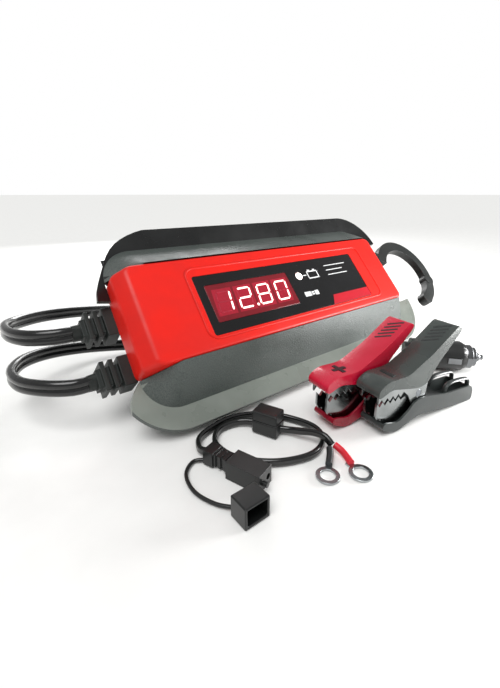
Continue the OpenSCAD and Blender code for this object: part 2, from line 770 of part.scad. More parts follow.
module clamp_spring() {
    inner = lower_cheek - jaw_t - 0.4;
    translate([0, inner, pivot_z]) rotate([90, 0, 0]) difference() {
        cylinder(r = pivot_r + 1.6, h = 2 * inner);
        translate([0, 0, -1]) cylinder(r = pivot_r + 0.3, h = 2 * inner + 2);
    }
}

module red_upper_handle() {
    color("#C41230") clamp_at(red_at) upper_handle();
}

module red_upper_jaw() {
    color("#B9BCBC") clamp_at(red_at) upper_jaw();
}

module red_lower_handle() {
    color("#A00E26") clamp_at(red_at) lower_handle();
}

module red_lower_jaw() {
    color("#B9BCBC") clamp_at(red_at) lower_jaw();
}

module red_pivot_pin() {
    color("#9A9EA0") clamp_at(red_at) pivot_pin();
}

module red_spring() {
    color("#7E8284") clamp_at(red_at) clamp_spring();
}

module black_upper_handle() {
    color("#5C6362") clamp_at(black_at) upper_handle();
}

module black_upper_jaw() {
    color("#B9BCBC") clamp_at(black_at) upper_jaw();
}

module black_lower_handle() {
    color("#3C4241") clamp_at(black_at) lower_handle();
}

module black_lower_jaw() {
    color("#B9BCBC") clamp_at(black_at) lower_jaw();
}

module black_pivot_pin() {
    color("#9A9EA0") clamp_at(black_at) pivot_pin();
}

module black_spring() {
    color("#7E8284") clamp_at(black_at) clamp_spring();
}

// ---------- socket plug ----------

plug_at = [60, -62.5];
plug_turn = -49.5;
ring_nut_l = 6;                        // chrome ring nut at the barrel's front
ring_nut_r = plug_r - 2;
neck_r = 5;                            // neck that the ring nut turns on
tip_out = 5;                           // reach of the tip contact past the ring nut
bore_z = plug_l - 6;                   // bottom of the tip contact's bore
side_l = 8;                            // length of a side contact
side_z = plug_l - 12;                  // where the side contacts start
side_out = 0.8;                        // how far they stand out of the barrel

module on_plug() {
    translate([plug_at[0], plug_at[1], plug_r]) rotate([0, 0, plug_turn]) rotate([0, 90, 0]) children();
}

module socket_plug_barrel() {
    color("#161818") on_plug() difference() {
        union() {
            cylinder(r = plug_r * 0.72, h = 4);
            translate([0, 0, 4]) cylinder(r = plug_r, h = plug_l - 7);
            translate([0, 0, plug_l - 3]) cylinder(r1 = plug_r, r2 = ring_nut_r + 0.3, h = 3);
            translate([0, 0, plug_l - 1]) cylinder(r = neck_r, h = ring_nut_l);
        }
        translate([0, 0, bore_z]) cylinder(r = tip_r + run, h = plug_l);
        for (s = [-1, 1])
            translate([-2.1, s > 0 ? plug_r - 3.1 : -plug_r - 1, side_z - 0.1])
                cube([4.2, 4.1, side_l + 0.2]);
    }
}

module socket_plug_collar() {
    color("#D4D6D6") on_plug() translate([0, 0, plug_l]) difference() {
        union() {
            cylinder(r = ring_nut_r, h = ring_nut_l * 0.6);
            cylinder(r = ring_nut_r - 1.4, h = ring_nut_l);
        }
        translate([0, 0, -1]) cylinder(r = neck_r, h = ring_nut_l + 2);
    }
}

module socket_plug_tip() {
    top = plug_l + ring_nut_l + tip_out;
    base = bore_z + tip_travel + 0.2;
    color("#D4D6D6") on_plug() {
        translate([0, 0, base]) cylinder(r = tip_r, h = top - 3 - base);
        translate([0, 0, top - 3]) cylinder(r1 = tip_r, r2 = tip_r * 0.55, h = 1.4);
        translate([0, 0, top - 1.6]) cylinder(r = tip_r * 0.55, h = 1.6);
    }
}

module side_contact(y) {
    color("#D4D6D6") on_plug() translate([-2, y, side_z]) cube([4, 2.4, side_l]);
}

module socket_plug_left_contact() {
    side_contact(plug_r + side_out - 2.4);
}

module socket_plug_right_contact() {
    side_contact(-plug_r - side_out);
}

// ---------- ring harness ----------

module harness_cord() {
    color("#1A1C1C") lead(harness_route, wire_w, wire_w * 0.7, 3, 8);
}

fuse_at = [-60, -63.5];
fuse_turn = -68;

module on_fuse() {
    translate([fuse_at[0], fuse_at[1], 0]) rotate([0, 0, fuse_turn]) children();
}

module fuse_holder() {
    color("#191B1B") on_fuse() difference() {
        span([-fuse_l / 2, -4.5, 0.4], [fuse_l / 2, 4.5, 7]);
        span([-fuse_l / 2 + 2.5, -2.2, 4.8], [fuse_l / 2 - 2.5, 2.2, 8]);
    }
}

module blade_fuse() {
    color("#3A7BC8") on_fuse() span([-fuse_l / 2 + 2.7, -1.8, 4.8], [fuse_l / 2 - 2.7, 1.8, 9.4]);
}

module fuse_cap() {
    color("#191B1B") on_fuse() difference() {
        span([-fuse_l / 2, -4.5, 7], [fuse_l / 2, 4.5, 12]);
        span([-fuse_l / 2 + 1.6, -2.6, 6], [fuse_l / 2 - 1.6, 2.6, 10.2]);
    }
}

connector_at = [-93, -65];
connector_turn = -72;

module on_connector() {
    translate([connector_at[0], connector_at[1], 0]) rotate([0, 0, connector_turn]) children();
}

module harness_connector() {
    color("#191B1B") on_connector() {
        span([-2, -3.4, 0.6], [3, 3.4, 7.4]);
        for (k = [0:2])
            span([3 + k * 2.6, -2.8, 1.2], [4.3 + k * 2.6, 2.8, 6.8]);
        span([3, -2.2, 1.6], [10.8, 2.2, 6.4]);
        difference() {
            span([10.8, -4.6, 0], [27, 4.6, 8]);
            translate([18, 2.1, 4]) rotate([0, 90, 0]) cylinder(r = 1.3, h = 12);
        }
        translate([27, -2.1, 4]) rotate([0, 90, 0]) cylinder(r = 1.1, h = 2.4);
    }
}

dust_at = [-97.5, -93];
dust_turn = -90;

module connector_dust_cap() {
    color("#191B1B") translate([dust_at[0], dust_at[1], 0]) rotate([0, 0, dust_turn]) difference() {
        span([0, -5.6, 0], [9, 5.6, 9]);
        span([1.4, -4.4, 1.2], [10, 4.4, 7.8]);
    }
}

module cap_tether() {
    color("#191B1B") lead(tether_route, tether_w, tether_w, 4, 8);
}

red_ring_at = [-48.8, -109];
red_ring_turn = -97;
black_ring_at = [-60.6, -101.6];
black_ring_turn = -143;

module ring_terminal(at, turn) {
    translate([at[0], at[1], 0]) rotate([0, 0, turn]) {
        difference() {
            union() {
                cylinder(r = ring_r, h = ring_t);
                span([-ring_r - 2.5, -1.4, 0], [-ring_r + 1.6, 1.5, ring_t]);
            }
            translate([0, 0, -1]) cylinder(r = stud_r, h = ring_t + 2);
        }
    }
}

module red_ring_terminal() {
    color("#B9BCBC") ring_terminal(red_ring_at, red_ring_turn);
}

module black_ring_terminal() {
    color("#B9BCBC") ring_terminal(black_ring_at, black_ring_turn);
}

module red_ring_sleeve() {
    color("#E2323F") lead(red_sleeve_route, 3, 3, 4, 10);
}

module black_ring_sleeve() {
    color("#191B1B") lead(black_sleeve_route, 3, 3, 4, 10);
}

front_cover();
back_cover();
upper_rail();
lower_rail();
base_pad();
face_label();
display_window();
display_module();
display_board();
status_led();
circuit_board();
transformer_core();
transformer_winding();
capacitors();
heat_sink();
power_transistors();
choke();
mains_fuse();
case_screws();
rail_screws();
board_screws();
hook();
hook_retainer();
mains_relief();
output_relief();
mains_cord();
mains_coil();
mains_plug();
mains_blades();
output_cord();
output_coil();
output_connector();
red_upper_handle();
red_upper_jaw();
red_lower_handle();
red_lower_jaw();
red_pivot_pin();
red_spring();
black_upper_handle();
black_upper_jaw();
black_lower_handle();
black_lower_jaw();
black_pivot_pin();
black_spring();
socket_plug_barrel();
socket_plug_collar();
socket_plug_tip();
socket_plug_left_contact();
socket_plug_right_contact();
harness_cord();
fuse_holder();
fuse_cap();
blade_fuse();
harness_connector();
connector_dust_cap();
cap_tether();
red_ring_terminal();
black_ring_terminal();
red_ring_sleeve();
black_ring_sleeve();
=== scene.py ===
"""Looks of the car battery charger: leaning case, hook, clamps, socket plug, ring harness and leads.

The routes and outlines here repeat the part's own numbers, so a change there has to be made here too.
"""

import logging
import math
from dataclasses import dataclass, field
from enum import Enum
from typing import Callable, Sequence

import bmesh
import bpy
from mathutils import Matrix, Vector


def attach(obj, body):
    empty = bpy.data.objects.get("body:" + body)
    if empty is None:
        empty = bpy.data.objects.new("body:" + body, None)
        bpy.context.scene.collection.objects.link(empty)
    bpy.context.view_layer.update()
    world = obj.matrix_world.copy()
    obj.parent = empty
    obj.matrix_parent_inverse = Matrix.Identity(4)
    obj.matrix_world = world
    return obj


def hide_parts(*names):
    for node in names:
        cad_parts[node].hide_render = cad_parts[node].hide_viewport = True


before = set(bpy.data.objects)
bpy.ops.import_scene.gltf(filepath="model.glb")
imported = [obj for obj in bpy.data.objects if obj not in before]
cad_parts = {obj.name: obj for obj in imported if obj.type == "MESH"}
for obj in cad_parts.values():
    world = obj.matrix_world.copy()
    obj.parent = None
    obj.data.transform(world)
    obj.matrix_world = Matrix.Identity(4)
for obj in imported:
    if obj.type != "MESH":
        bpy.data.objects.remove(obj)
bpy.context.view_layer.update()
LOG = logging.getLogger("charger")
MM = 0.001
COIL_STEP = 22.5
Point = Sequence[float]
Outline = list[tuple[float, float]]
Solid = tuple[list[Point], list[list[int]]]

# The case leans back about its front panel; these are the part's own lean, height and set-back.
LEAN = math.radians(48.5)
CASE = Matrix.Translation((0, -16.155 * MM, 56 * MM)) @ Matrix.Rotation(LEAN, 4, "X") @ Matrix.Scale(MM, 4)


def linear(hex_colour: str) -> tuple[float, float, float, float]:
    """Turns an sRGB colour into the linear values that shaders take.

    Args:
        hex_colour: Six hex digits, with or without a leading hash.

    Returns:
        Linear red, green, blue and an alpha of one.
    """
    digits = hex_colour.lstrip("#")
    parts = [int(digits[i:i + 2], 16) / 255 for i in (0, 2, 4)]
    r, g, b = [c / 12.92 if c <= 0.04045 else ((c + 0.055) / 1.055) ** 2.4 for c in parts]
    return r, g, b, 1.0


class Surface(Enum):
    """How a surface was made, which sets the pattern that it carries."""

    GRAIN = "grain"        # spark-eroded mould texture
    MOULDED = "moulded"    # polished mould, with a faint flow waviness
    BRUSHED = "brushed"    # drawn or brushed along one axis
    PLATED = "plated"      # plated metal with fine pitting
    FILM = "film"          # printed film or glass


@dataclass(frozen=True)
class Finish:
    """One finish: its name, colour and how it catches light.

    Attributes:
        name: Name of the material.
        colour: Main sRGB colour.
        second: Colour that the pattern drifts towards.
        how: The way the surface was made.
        rough: Mean roughness.
        metal: Metallic value, 0 or 1.
        ior: Index of refraction.
        coat: Clear coat weight.
        size: Size of the pattern in millimetres.
        bump: Height of the pattern in millimetres.
        glow: Strength of its own light.
    """

    name: str
    colour: str
    second: str
    how: Surface = Surface.MOULDED
    rough: float = 0.4
    metal: float = 0.0
    ior: float = 1.5
    coat: float = 0.0
    size: float = 0.5
    bump: float = 0.02
    glow: float = 0.0

    def material(self) -> bpy.types.Material:
        """Builds this finish once and gives its material.

        Returns:
            The material, shared by every piece that wears it.
        """
        known = bpy.data.materials.get(self.name)
        if known:
            return known
        mat = bpy.data.materials.new(self.name)
        mat.use_nodes = True
        tree = mat.node_tree
        shader = tree.nodes["Principled BSDF"]
        shader.inputs["Metallic"].default_value = self.metal
        shader.inputs["IOR"].default_value = self.ior
        shader.inputs["Coat Weight"].default_value = self.coat
        shader.inputs["Coat Roughness"].default_value = 0.06
        if self.glow:
            shader.inputs["Emission Color"].default_value = linear(self.colour)
            shader.inputs["Emission Strength"].default_value = self.glow
        coords = add(tree, "ShaderNodeTexCoord")
        stretch = (1, 1, 1) if self.how is not Surface.BRUSHED else (0.06, 1, 1)
        mapping = add(tree, "ShaderNodeMapping", Vector=coords.outputs["Object"], Scale=stretch)
        scale = 1 / (self.size * MM)
        fine = add(tree, "ShaderNodeTexNoise", Vector=mapping.outputs[0], Scale=scale, Detail=4.0,
                   Roughness=0.6)
        broad = add(tree, "ShaderNodeTexNoise", Vector=coords.outputs["Object"], Scale=60.0, Detail=3.0)
        tone = fine if self.how in (Surface.GRAIN, Surface.BRUSHED) else broad
        tint = add(tree, "ShaderNodeMapRange", Value=tone.outputs[0], **{"From Min": 0.35, "From Max": 0.65})
        mix = add(tree, "ShaderNodeMix", settings={"data_type": "RGBA"}, Factor=tint.outputs[0],
                  A=linear(self.colour), B=linear(self.second))
        tree.links.new(mix.outputs["Result"], shader.inputs["Base Color"])
        spread = 0.12 if self.how is Surface.GRAIN else 0.06
        rough = add(tree, "ShaderNodeMapRange", Value=broad.outputs[0],
                    **{"From Min": 0.3, "From Max": 0.7, "To Min": max(0.03, self.rough - spread),
                       "To Max": self.rough + spread})
        tree.links.new(rough.outputs[0], shader.inputs["Roughness"])
        pattern = fine.outputs[0]
        if self.how is Surface.GRAIN:
            cells = add(tree, "ShaderNodeTexVoronoi", Vector=coords.outputs["Object"], Scale=scale * 0.8)
            pattern = add(tree, "ShaderNodeMath", settings={"operation": "ADD"}, _0=fine.outputs[0],
                          _1=cells.outputs["Distance"]).outputs[0]
        bump = add(tree, "ShaderNodeBump", Height=pattern, Strength=1.0, Distance=self.bump * MM)
        tree.links.new(bump.outputs[0], shader.inputs["Normal"])
        return mat


def add(tree: bpy.types.NodeTree, kind: str, settings: dict | None = None,
        **sockets: object) -> bpy.types.Node:
    """Adds a node and sets or links its inputs.

    Args:
        tree: The tree that takes the node.
        kind: The node's type.
        settings: Properties of the node itself.
        **sockets: Input values or output sockets by name, or by place as _0, _1 and so on.

    Returns:
        The new node.
    """
    node = tree.nodes.new(kind)
    for key, value in (settings or {}).items():
        setattr(node, key, value)
    for key, value in sockets.items():
        if key.startswith("_"):
            target = node.inputs[int(key[1:])]
        else:
            target = next(s for s in node.inputs if s.name == key and s.enabled)
        if isinstance(value, bpy.types.NodeSocket):
            tree.links.new(value, target)
        else:
            target.default_value = value
    return node


# Moulded ABS covers: satin red with the fine grain of a spark-eroded mould, and darker matt back
RED_ABS = Finish("moulded red ABS", "#DA1606", "#D01204", Surface.MOULDED, 0.42,
                 size=0.8, bump=0.006, ior=1.42)
BLACK_ABS = Finish("moulded black ABS", "#141617", "#1B1E1F", Surface.GRAIN, 0.5, size=0.5, bump=0.03)
# Side rails: coarse grain on the slope, polished on the lip
RAIL_GRAIN = Finish("grained rail plastic", "#3E4442", "#59605C", Surface.GRAIN, 0.36, size=0.55, bump=0.08)
RAIL_SMOOTH = Finish("smooth rail plastic", "#747A73", "#7D837C", Surface.MOULDED, 0.3, size=2.0, bump=0.01)
# Near-black copy of the smooth lip plastic for the upper rail's lip: painted shade and dark reflection where
# that lip faces away from the light
LIP_SHADED = Finish("smooth rail plastic, painted shade", "#0E0F0F", "#131414", Surface.MOULDED, 0.3, size=2.0, bump=0.01)
PAD = Finish("ribbed pad rubber", "#17191A", "#1F2122", Surface.GRAIN, 0.75, size=0.6, bump=0.03)
LABEL = Finish("gloss label film", "#070708", "#0A0A0C", Surface.FILM, 0.18, size=3.0, bump=0.002)
WINDOW = Finish("tinted window", "#6A0C18", "#76101C", Surface.FILM, 0.16, size=6.0, bump=0.002)
LIT = Finish("lit segment", "#FFD2C8", "#FFC2B6", Surface.FILM, 0.3, size=0.6, bump=0.001, glow=2.2)
CELL = Finish("display cell", "#8C1224", "#9A182C", Surface.FILM, 0.22, size=5.0, bump=0.001, glow=0.12)
UNLIT = Finish("unlit segment", "#9A1E30", "#90182A", Surface.FILM, 0.3, size=0.6, bump=0.001)
LAMP = Finish("diffused status light", "#FFF6F0", "#FFECE2", Surface.FILM, 0.3,
              size=0.5, bump=0.002, glow=3.0)
PRINT = Finish("white print", "#E9EAEA", "#DADCDC", Surface.FILM, 0.35, size=0.3, bump=0.002)
RED_PRINT = Finish("red print", "#B80E22", "#AE0C20", Surface.FILM, 0.3, size=0.3, bump=0.002)
HOOK = Finish("moulded hook nylon", "#101312", "#171A19", Surface.GRAIN, 0.4, size=0.5, bump=0.03)
RELIEF = Finish("moulded relief PVC", "#131816", "#1A201D", Surface.MOULDED, 0.45, size=0.6, bump=0.015)
LEAD = Finish("extruded lead PVC", "#090A0A", "#0E0F0F", Surface.MOULDED, 0.22, size=1.5, bump=0.01, coat=0.3)
PLUG = Finish("moulded plug PVC", "#0E1010", "#141616", Surface.MOULDED, 0.34, size=0.6, bump=0.012, coat=0.1)
BRASS = Finish("rolled brass", "#C9A85A", "#BE9A4C", Surface.BRUSHED, 0.28, 1.0, 1.5, size=0.15, bump=0.003)
CLAMP_RED = Finish("moulded red clamp ABS", "#BE1230", "#C8183A", Surface.MOULDED, 0.25,
                   size=1.2, bump=0.01, coat=0.35)
# Darker copies of the two clamp plastics for the lower handles and wire clips: painted shade under the upper
# handles
CLAMP_RED_SHADED = Finish("moulded red clamp ABS, painted shade", "#8E0C24", "#980F2A", Surface.MOULDED, 0.3,
                        size=1.2, bump=0.01)
CLAMP_GREY = Finish("moulded grey clamp ABS", "#363C3A", "#3F4643", Surface.MOULDED, 0.27,
                    size=1.2, bump=0.01, coat=0.3)
CLAMP_GREY_SHADED = Finish("moulded grey clamp ABS, painted shade", "#2E3332", "#363B3A", Surface.MOULDED, 0.32,
                         size=1.2, bump=0.01)
GRIP = Finish("grip slot shade", "#2A0A10", "#32101A", Surface.GRAIN, 0.6, size=0.4, bump=0.02)
GRIP_GREY = Finish("grip slot shade, grey", "#1D2121", "#242828", Surface.GRAIN, 0.6, size=0.4, bump=0.02)
JAW = Finish("nickel plated steel", "#A2A5A5", "#8C9090", Surface.PLATED, 0.2, 1.0, 1.5, size=0.4, bump=0.004)
CHROME = Finish("bright chrome", "#7E8082", "#6E7072", Surface.PLATED, 0.12, 1.0, 1.5, size=0.6, bump=0.002)
ZINC = Finish("zinc plated screw steel", "#8C9094", "#7E8286", Surface.BRUSHED, 0.34, 1.0, 1.5,
              size=0.12, bump=0.004)
SPRING = Finish("oiled spring steel", "#6E7274", "#5E6264", Surface.BRUSHED, 0.3, 1.0, 1.5,
                size=0.2, bump=0.003)
TIN = Finish("tinned copper", "#B4B8BA", "#A2A6A8", Surface.PLATED, 0.26, 1.0, 1.5, size=0.5, bump=0.006)
RED_SLEEVE = Finish("shrunk red sleeve", "#D82838", "#C8202E", Surface.MOULDED, 0.42, size=0.5, bump=0.02)
BLACK_SLEEVE = Finish("shrunk black sleeve", "#17191A", "#202324", Surface.MOULDED, 0.42, size=0.5, bump=0.02)
FUSE = Finish("blue fuse body", "#2F6FC0", "#3A7BC8", Surface.FILM, 0.18, size=0.8, bump=0.002)
BOARD = Finish("solder mask", "#1A5230", "#1F5E38", Surface.FILM, 0.35, size=1.5, bump=0.01)
FERRITE = Finish("sintered ferrite", "#2E2E32", "#3A3A3E", Surface.GRAIN, 0.6, size=0.3, bump=0.02)
TAPE = Finish("winding tape", "#C9A03C", "#BC9232", Surface.BRUSHED, 0.4, size=0.4, bump=0.01)
CAN = Finish("capacitor sleeve", "#24356A", "#2B3F78", Surface.FILM, 0.25, size=0.9, bump=0.004)
ALLOY = Finish("extruded alloy", "#AEB2B6", "#9EA2A6", Surface.BRUSHED, 0.36, 1.0, 1.5, size=0.2, bump=0.006)
EPOXY = Finish("moulded epoxy", "#18181A", "#202022", Surface.GRAIN, 0.5, size=0.3, bump=0.01)
COPPER = Finish("enamelled copper wire", "#A85626", "#96481C", Surface.BRUSHED, 0.3, 1.0, 1.5,
                size=0.5, bump=0.03)
FUSE_TUBE = Finish("fuse tube glass", "#C8CCCC", "#BEC4C4", Surface.FILM, 0.08, size=1.0, bump=0.002)
FLOOR = Finish("pale paper floor", "#F4F4F2", "#F1F1EF", Surface.MOULDED, 0.85, size=3.0, bump=0.004)


# ---------- mesh helpers ----------

def shown(name: str, mesh: bpy.types.Mesh, finish: Finish) -> bpy.types.Object:
    """Gives a mesh its finish and puts it in the scene under a name."""
    mesh.materials.append(finish.material())
    obj = bpy.data.objects.new(name, mesh)
    bpy.context.scene.collection.objects.link(obj)
    return obj


def piece(name: str, verts: Sequence[Point], faces: Sequence[Sequence[int]], finish: Finish,
          place: Matrix | None = None) -> bpy.types.Object:
    """Makes an object at the origin from points and faces.

    Args:
        name: The piece's name.
        verts: Its points, in metres once placed.
        faces: Its faces, by point number.
        finish: Its finish.
        place: Matrix from the points' own frame to the object's.

    Returns:
        The new object.
    """
    mesh = bpy.data.meshes.new(name)
    mesh.from_pydata([place @ Vector(v) for v in verts] if place else verts, [], faces)
    mesh.validate()
    work = bmesh.new()
    work.from_mesh(mesh)
    bmesh.ops.remove_doubles(work, verts=work.verts, dist=2e-7)
    bmesh.ops.recalc_face_normals(work, faces=work.faces)
    work.to_mesh(mesh)
    work.free()
    return shown(name, mesh, finish)


def settle(obj: bpy.types.Object, angle: float | None = 35.0) -> bpy.types.Object:
    """Applies an object's modifiers and shades it smooth below an angle.

    Args:
        obj: The object.
        angle: Edges sharper than this many degrees stay sharp; none leaves the shading as it is.

    Returns:
        The same object with a plain mesh.
    """
    if obj.modifiers:
        bpy.context.view_layer.update()
        graph = bpy.context.evaluated_depsgraph_get()
        mesh = bpy.data.meshes.new_from_object(obj.evaluated_get(graph), depsgraph=graph)
        old = obj.data
        obj.modifiers.clear()
        obj.data = mesh
        bpy.data.meshes.remove(old)
    if angle is not None:
        obj.data.shade_smooth()
        obj.data.set_sharp_from_angle(angle=math.radians(angle))
    return obj


def bevel(obj: bpy.types.Object, width: float, segments: int = 3, angle: float = 30.0) -> bpy.types.Object:
    """Rounds an object's sharp edges.

    Args:
        obj: The object.
        width: Bevel width in millimetres.
        segments: Steps in each rounded edge.
        angle: Only edges sharper than this many degrees are rounded.

    Returns:
        The same object.
    """
    obj.data.shade_smooth()
    obj.data.set_sharp_from_angle(angle=math.radians(angle))
    mod = obj.modifiers.new("rounded edges", "BEVEL")
    mod.width = width * MM
    mod.segments = segments
    mod.limit_method = "ANGLE"
    mod.angle_limit = math.radians(angle)
    mod.harden_normals = True
    mod.use_clamp_overlap = True
    return settle(obj, None)


def softened(node: str, finish: Finish, width: float, segments: int = 3) -> bpy.types.Object:
    """Makes a moulded copy of a node with its flat faces merged and its edges rounded.

    Args:
        node: The node that the piece stands for.
        finish: Its finish.
        width: Edge rounding in millimetres.
        segments: Steps in each rounded edge.

    Returns:
        The new object, which isn't riding on anything yet.
    """
    source = bmesh.new()
    source.from_mesh(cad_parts[node].data)
    bmesh.ops.remove_doubles(source, verts=source.verts, dist=4e-6)
    bmesh.ops.dissolve_limit(source, angle_limit=math.radians(1.2), verts=source.verts, edges=source.edges)
    source.verts.index_update()
    verts = [v.co.copy() for v in source.verts]
    faces = [[v.index for v in f.verts] for f in source.faces]
    source.free()
    name = node + "_moulded"
    mesh = bpy.data.meshes.new(name)
    mesh.from_pydata(verts, [], faces)
    return bevel(shown(name, mesh, finish), width, segments)


def prism(outline: Outline, y0: float, y1: float) -> Solid:
    """Gives the points and faces of an outline in X and Z, carried along Y."""
    pts, faces = slab(outline, y0, y1)
    return [(x, y, z) for x, z, y in pts], faces


def rounded_solid(name: str, shape: Solid, finish: Finish, place: Matrix,
                  rounds: Sequence[tuple[float, int, Callable[[Vector, Vector], bool]]],
                  least: float = 24.0) -> bpy.types.Object:
    """Makes a solid and rounds chosen edges, one set after another.

    Args:
        name: The piece's name.
        shape: Its points and faces in millimetres.
        finish: Its finish.
        place: Matrix to the world.
        rounds: For each set, its radius, its steps, and a test of an edge's two ends.
        least: Least angle of an edge that may be rounded, in degrees.

    Returns:
        The new object.
    """
    work = bmesh.new()
    verts = [work.verts.new(v) for v in shape[0]]
    for face in shape[1]:
        work.faces.new([verts[i] for i in face])
    bmesh.ops.recalc_face_normals(work, faces=work.faces)
    for radius, steps, test in rounds:
        edges = [e for e in work.edges
                 if e.calc_face_angle(0) > math.radians(least) and test(e.verts[0].co, e.verts[1].co)]
        bmesh.ops.bevel(work, geom=edges, offset=radius, segments=steps, profile=0.5, affect="EDGES",
                        clamp_overlap=True)
    mesh = bpy.data.meshes.new(name)
    work.to_mesh(mesh)
    work.free()
    mesh.transform(place)
    return shown(name, mesh, finish)


def carve(obj: bpy.types.Object, cutters: Sequence[Solid], finish: Finish, place: Matrix) -> bpy.types.Object:
    """Cuts shapes out of an object.

    Args:
        obj: The object.
        cutters: Points and faces of each shape, in millimetres.
        finish: The finish of the cut faces.
        place: Matrix to the world.

    Returns:
        The same object with a plain mesh, smooth where it is round.
    """
    made = [piece(f"cutter_{i}", *shape, finish, place) for i, shape in enumerate(cutters)]
    for cutter in made:
        mod = obj.modifiers.new("cut", "BOOLEAN")
        mod.operation, mod.solver, mod.object = "DIFFERENCE", "EXACT", cutter
    settle(obj, 28)
    for cutter in made:
        bpy.data.objects.remove(cutter)
    return obj


def eased(outline: Outline, reach: float, steps: int = 4) -> list[Outline]:
    """Rounds each corner of an outline.

    Args:
        outline: The outline's corners.
        reach: How far from a corner its curve may start.
        steps: Parts of each curve.

    Returns:
        The points that take each corner's place.
    """
    out = []
    for i, (x, y) in enumerate(outline):
        ends = []
        for nx, ny in (outline[i - 1], outline[(i + 1) % len(outline)]):
            d = math.hypot(nx - x, ny - y)
            cut = min(reach, 0.42 * d) / d
            ends.append((x + (nx - x) * cut, y + (ny - y) * cut))
        (ax, ay), (bx, by) = ends
        out.append([((1 - t) ** 2 * ax + 2 * t * (1 - t) * x + t * t * bx,
                     (1 - t) ** 2 * ay + 2 * t * (1 - t) * y + t * t * by)
                    for t in (k / steps for k in range(steps + 1))])
    return out


def ring_outline(x0: float, y0: float, x1: float, y1: float, r: float, steps: int = 6) -> Outline:
    """Gives a rectangle with rounded corners."""
    out = []
    for q, (cx, cy) in enumerate(((x1 - r, y1 - r), (x0 + r, y1 - r), (x0 + r, y0 + r), (x1 - r, y0 + r))):
        for k in range(steps + 1):
            a = math.pi / 2 * (q + k / steps)
            out.append((cx + r * math.cos(a), cy + r * math.sin(a)))
    return out


def box_faces(low: Point, high: Point) -> Solid:
    """Gives the eight points and six faces of a box from two opposite corners."""
    pts = [(x, y, z) for x in (low[0], high[0]) for y in (low[1], high[1]) for z in (low[2], high[2])]
    return pts, [[0, 1, 3, 2], [4, 6, 7, 5], [0, 4, 5, 1], [2, 3, 7, 6], [0, 2, 6, 4], [1, 5, 7, 3]]


def slab(outline: Outline, z0: float, z1: float) -> Solid:
    """Gives the points and faces of a flat plate with this outline between two heights."""
    n = len(outline)
    pts = [(x, y, z) for z in (z0, z1) for x, y in outline]
    return pts, [list(range(n))[::-1], list(range(n, 2 * n))] + [
        [k, (k + 1) % n, n + (k + 1) % n, n + k] for k in range(n)]


def joined(parts: Sequence[Solid]) -> Solid:
    """Puts several sets of points and faces into one."""
    pts, faces = [], []
    for p, f in parts:
        faces += [[i + len(pts) for i in face] for face in f]
        pts += p
    return pts, faces


def loft(rings: Sequence[Sequence[Point]]) -> Solid:
    """Skins rings that have the same number of points and closes both ends."""
    n, m = len(rings[0]), len(rings)
    faces = [[i * n + k, i * n + (k + 1) % n, (i + 1) * n + (k + 1) % n, (i + 1) * n + k]
             for i in range(m - 1) for k in range(n)]
    ends = [list(range(n))[::-1], list(range((m - 1) * n, m * n))]
    return [p for ring in rings for p in ring], faces + ends


def oval(across: float, up: float, count: int, x: float = 0.0, y: float = 0.0) -> Outline:
    """Gives an ellipse with these half widths about a middle, as an even number of points."""
    angles = [k * math.pi / (count // 2) for k in range(count)]
    return [(x + across * math.cos(a), y + up * math.sin(a)) for a in angles]


def rings_along(path: Sequence[Vector], shapes: Sequence[Outline],
                axis: Point = (0, 0, 1)) -> list[list[Point]]:
    """Puts an outline square across a path at each of its points.

    Args:
        path: The path's points.
        shapes: One outline for each point.
        axis: Each outline's first direction is square to this one.

    Returns:
        One ring of points for each point of the path.
    """
    rings = []
    for i, q in enumerate(path):
        along = (path[min(i + 1, len(path) - 1)] - path[max(i - 1, 0)]).normalized()
        side = along.cross(Vector(axis)).normalized()
        up = side.cross(along)
        rings.append([tuple(q + side * x + up * y) for x, y in shapes[i]])
    return rings


# ---------- geometry node trees ----------

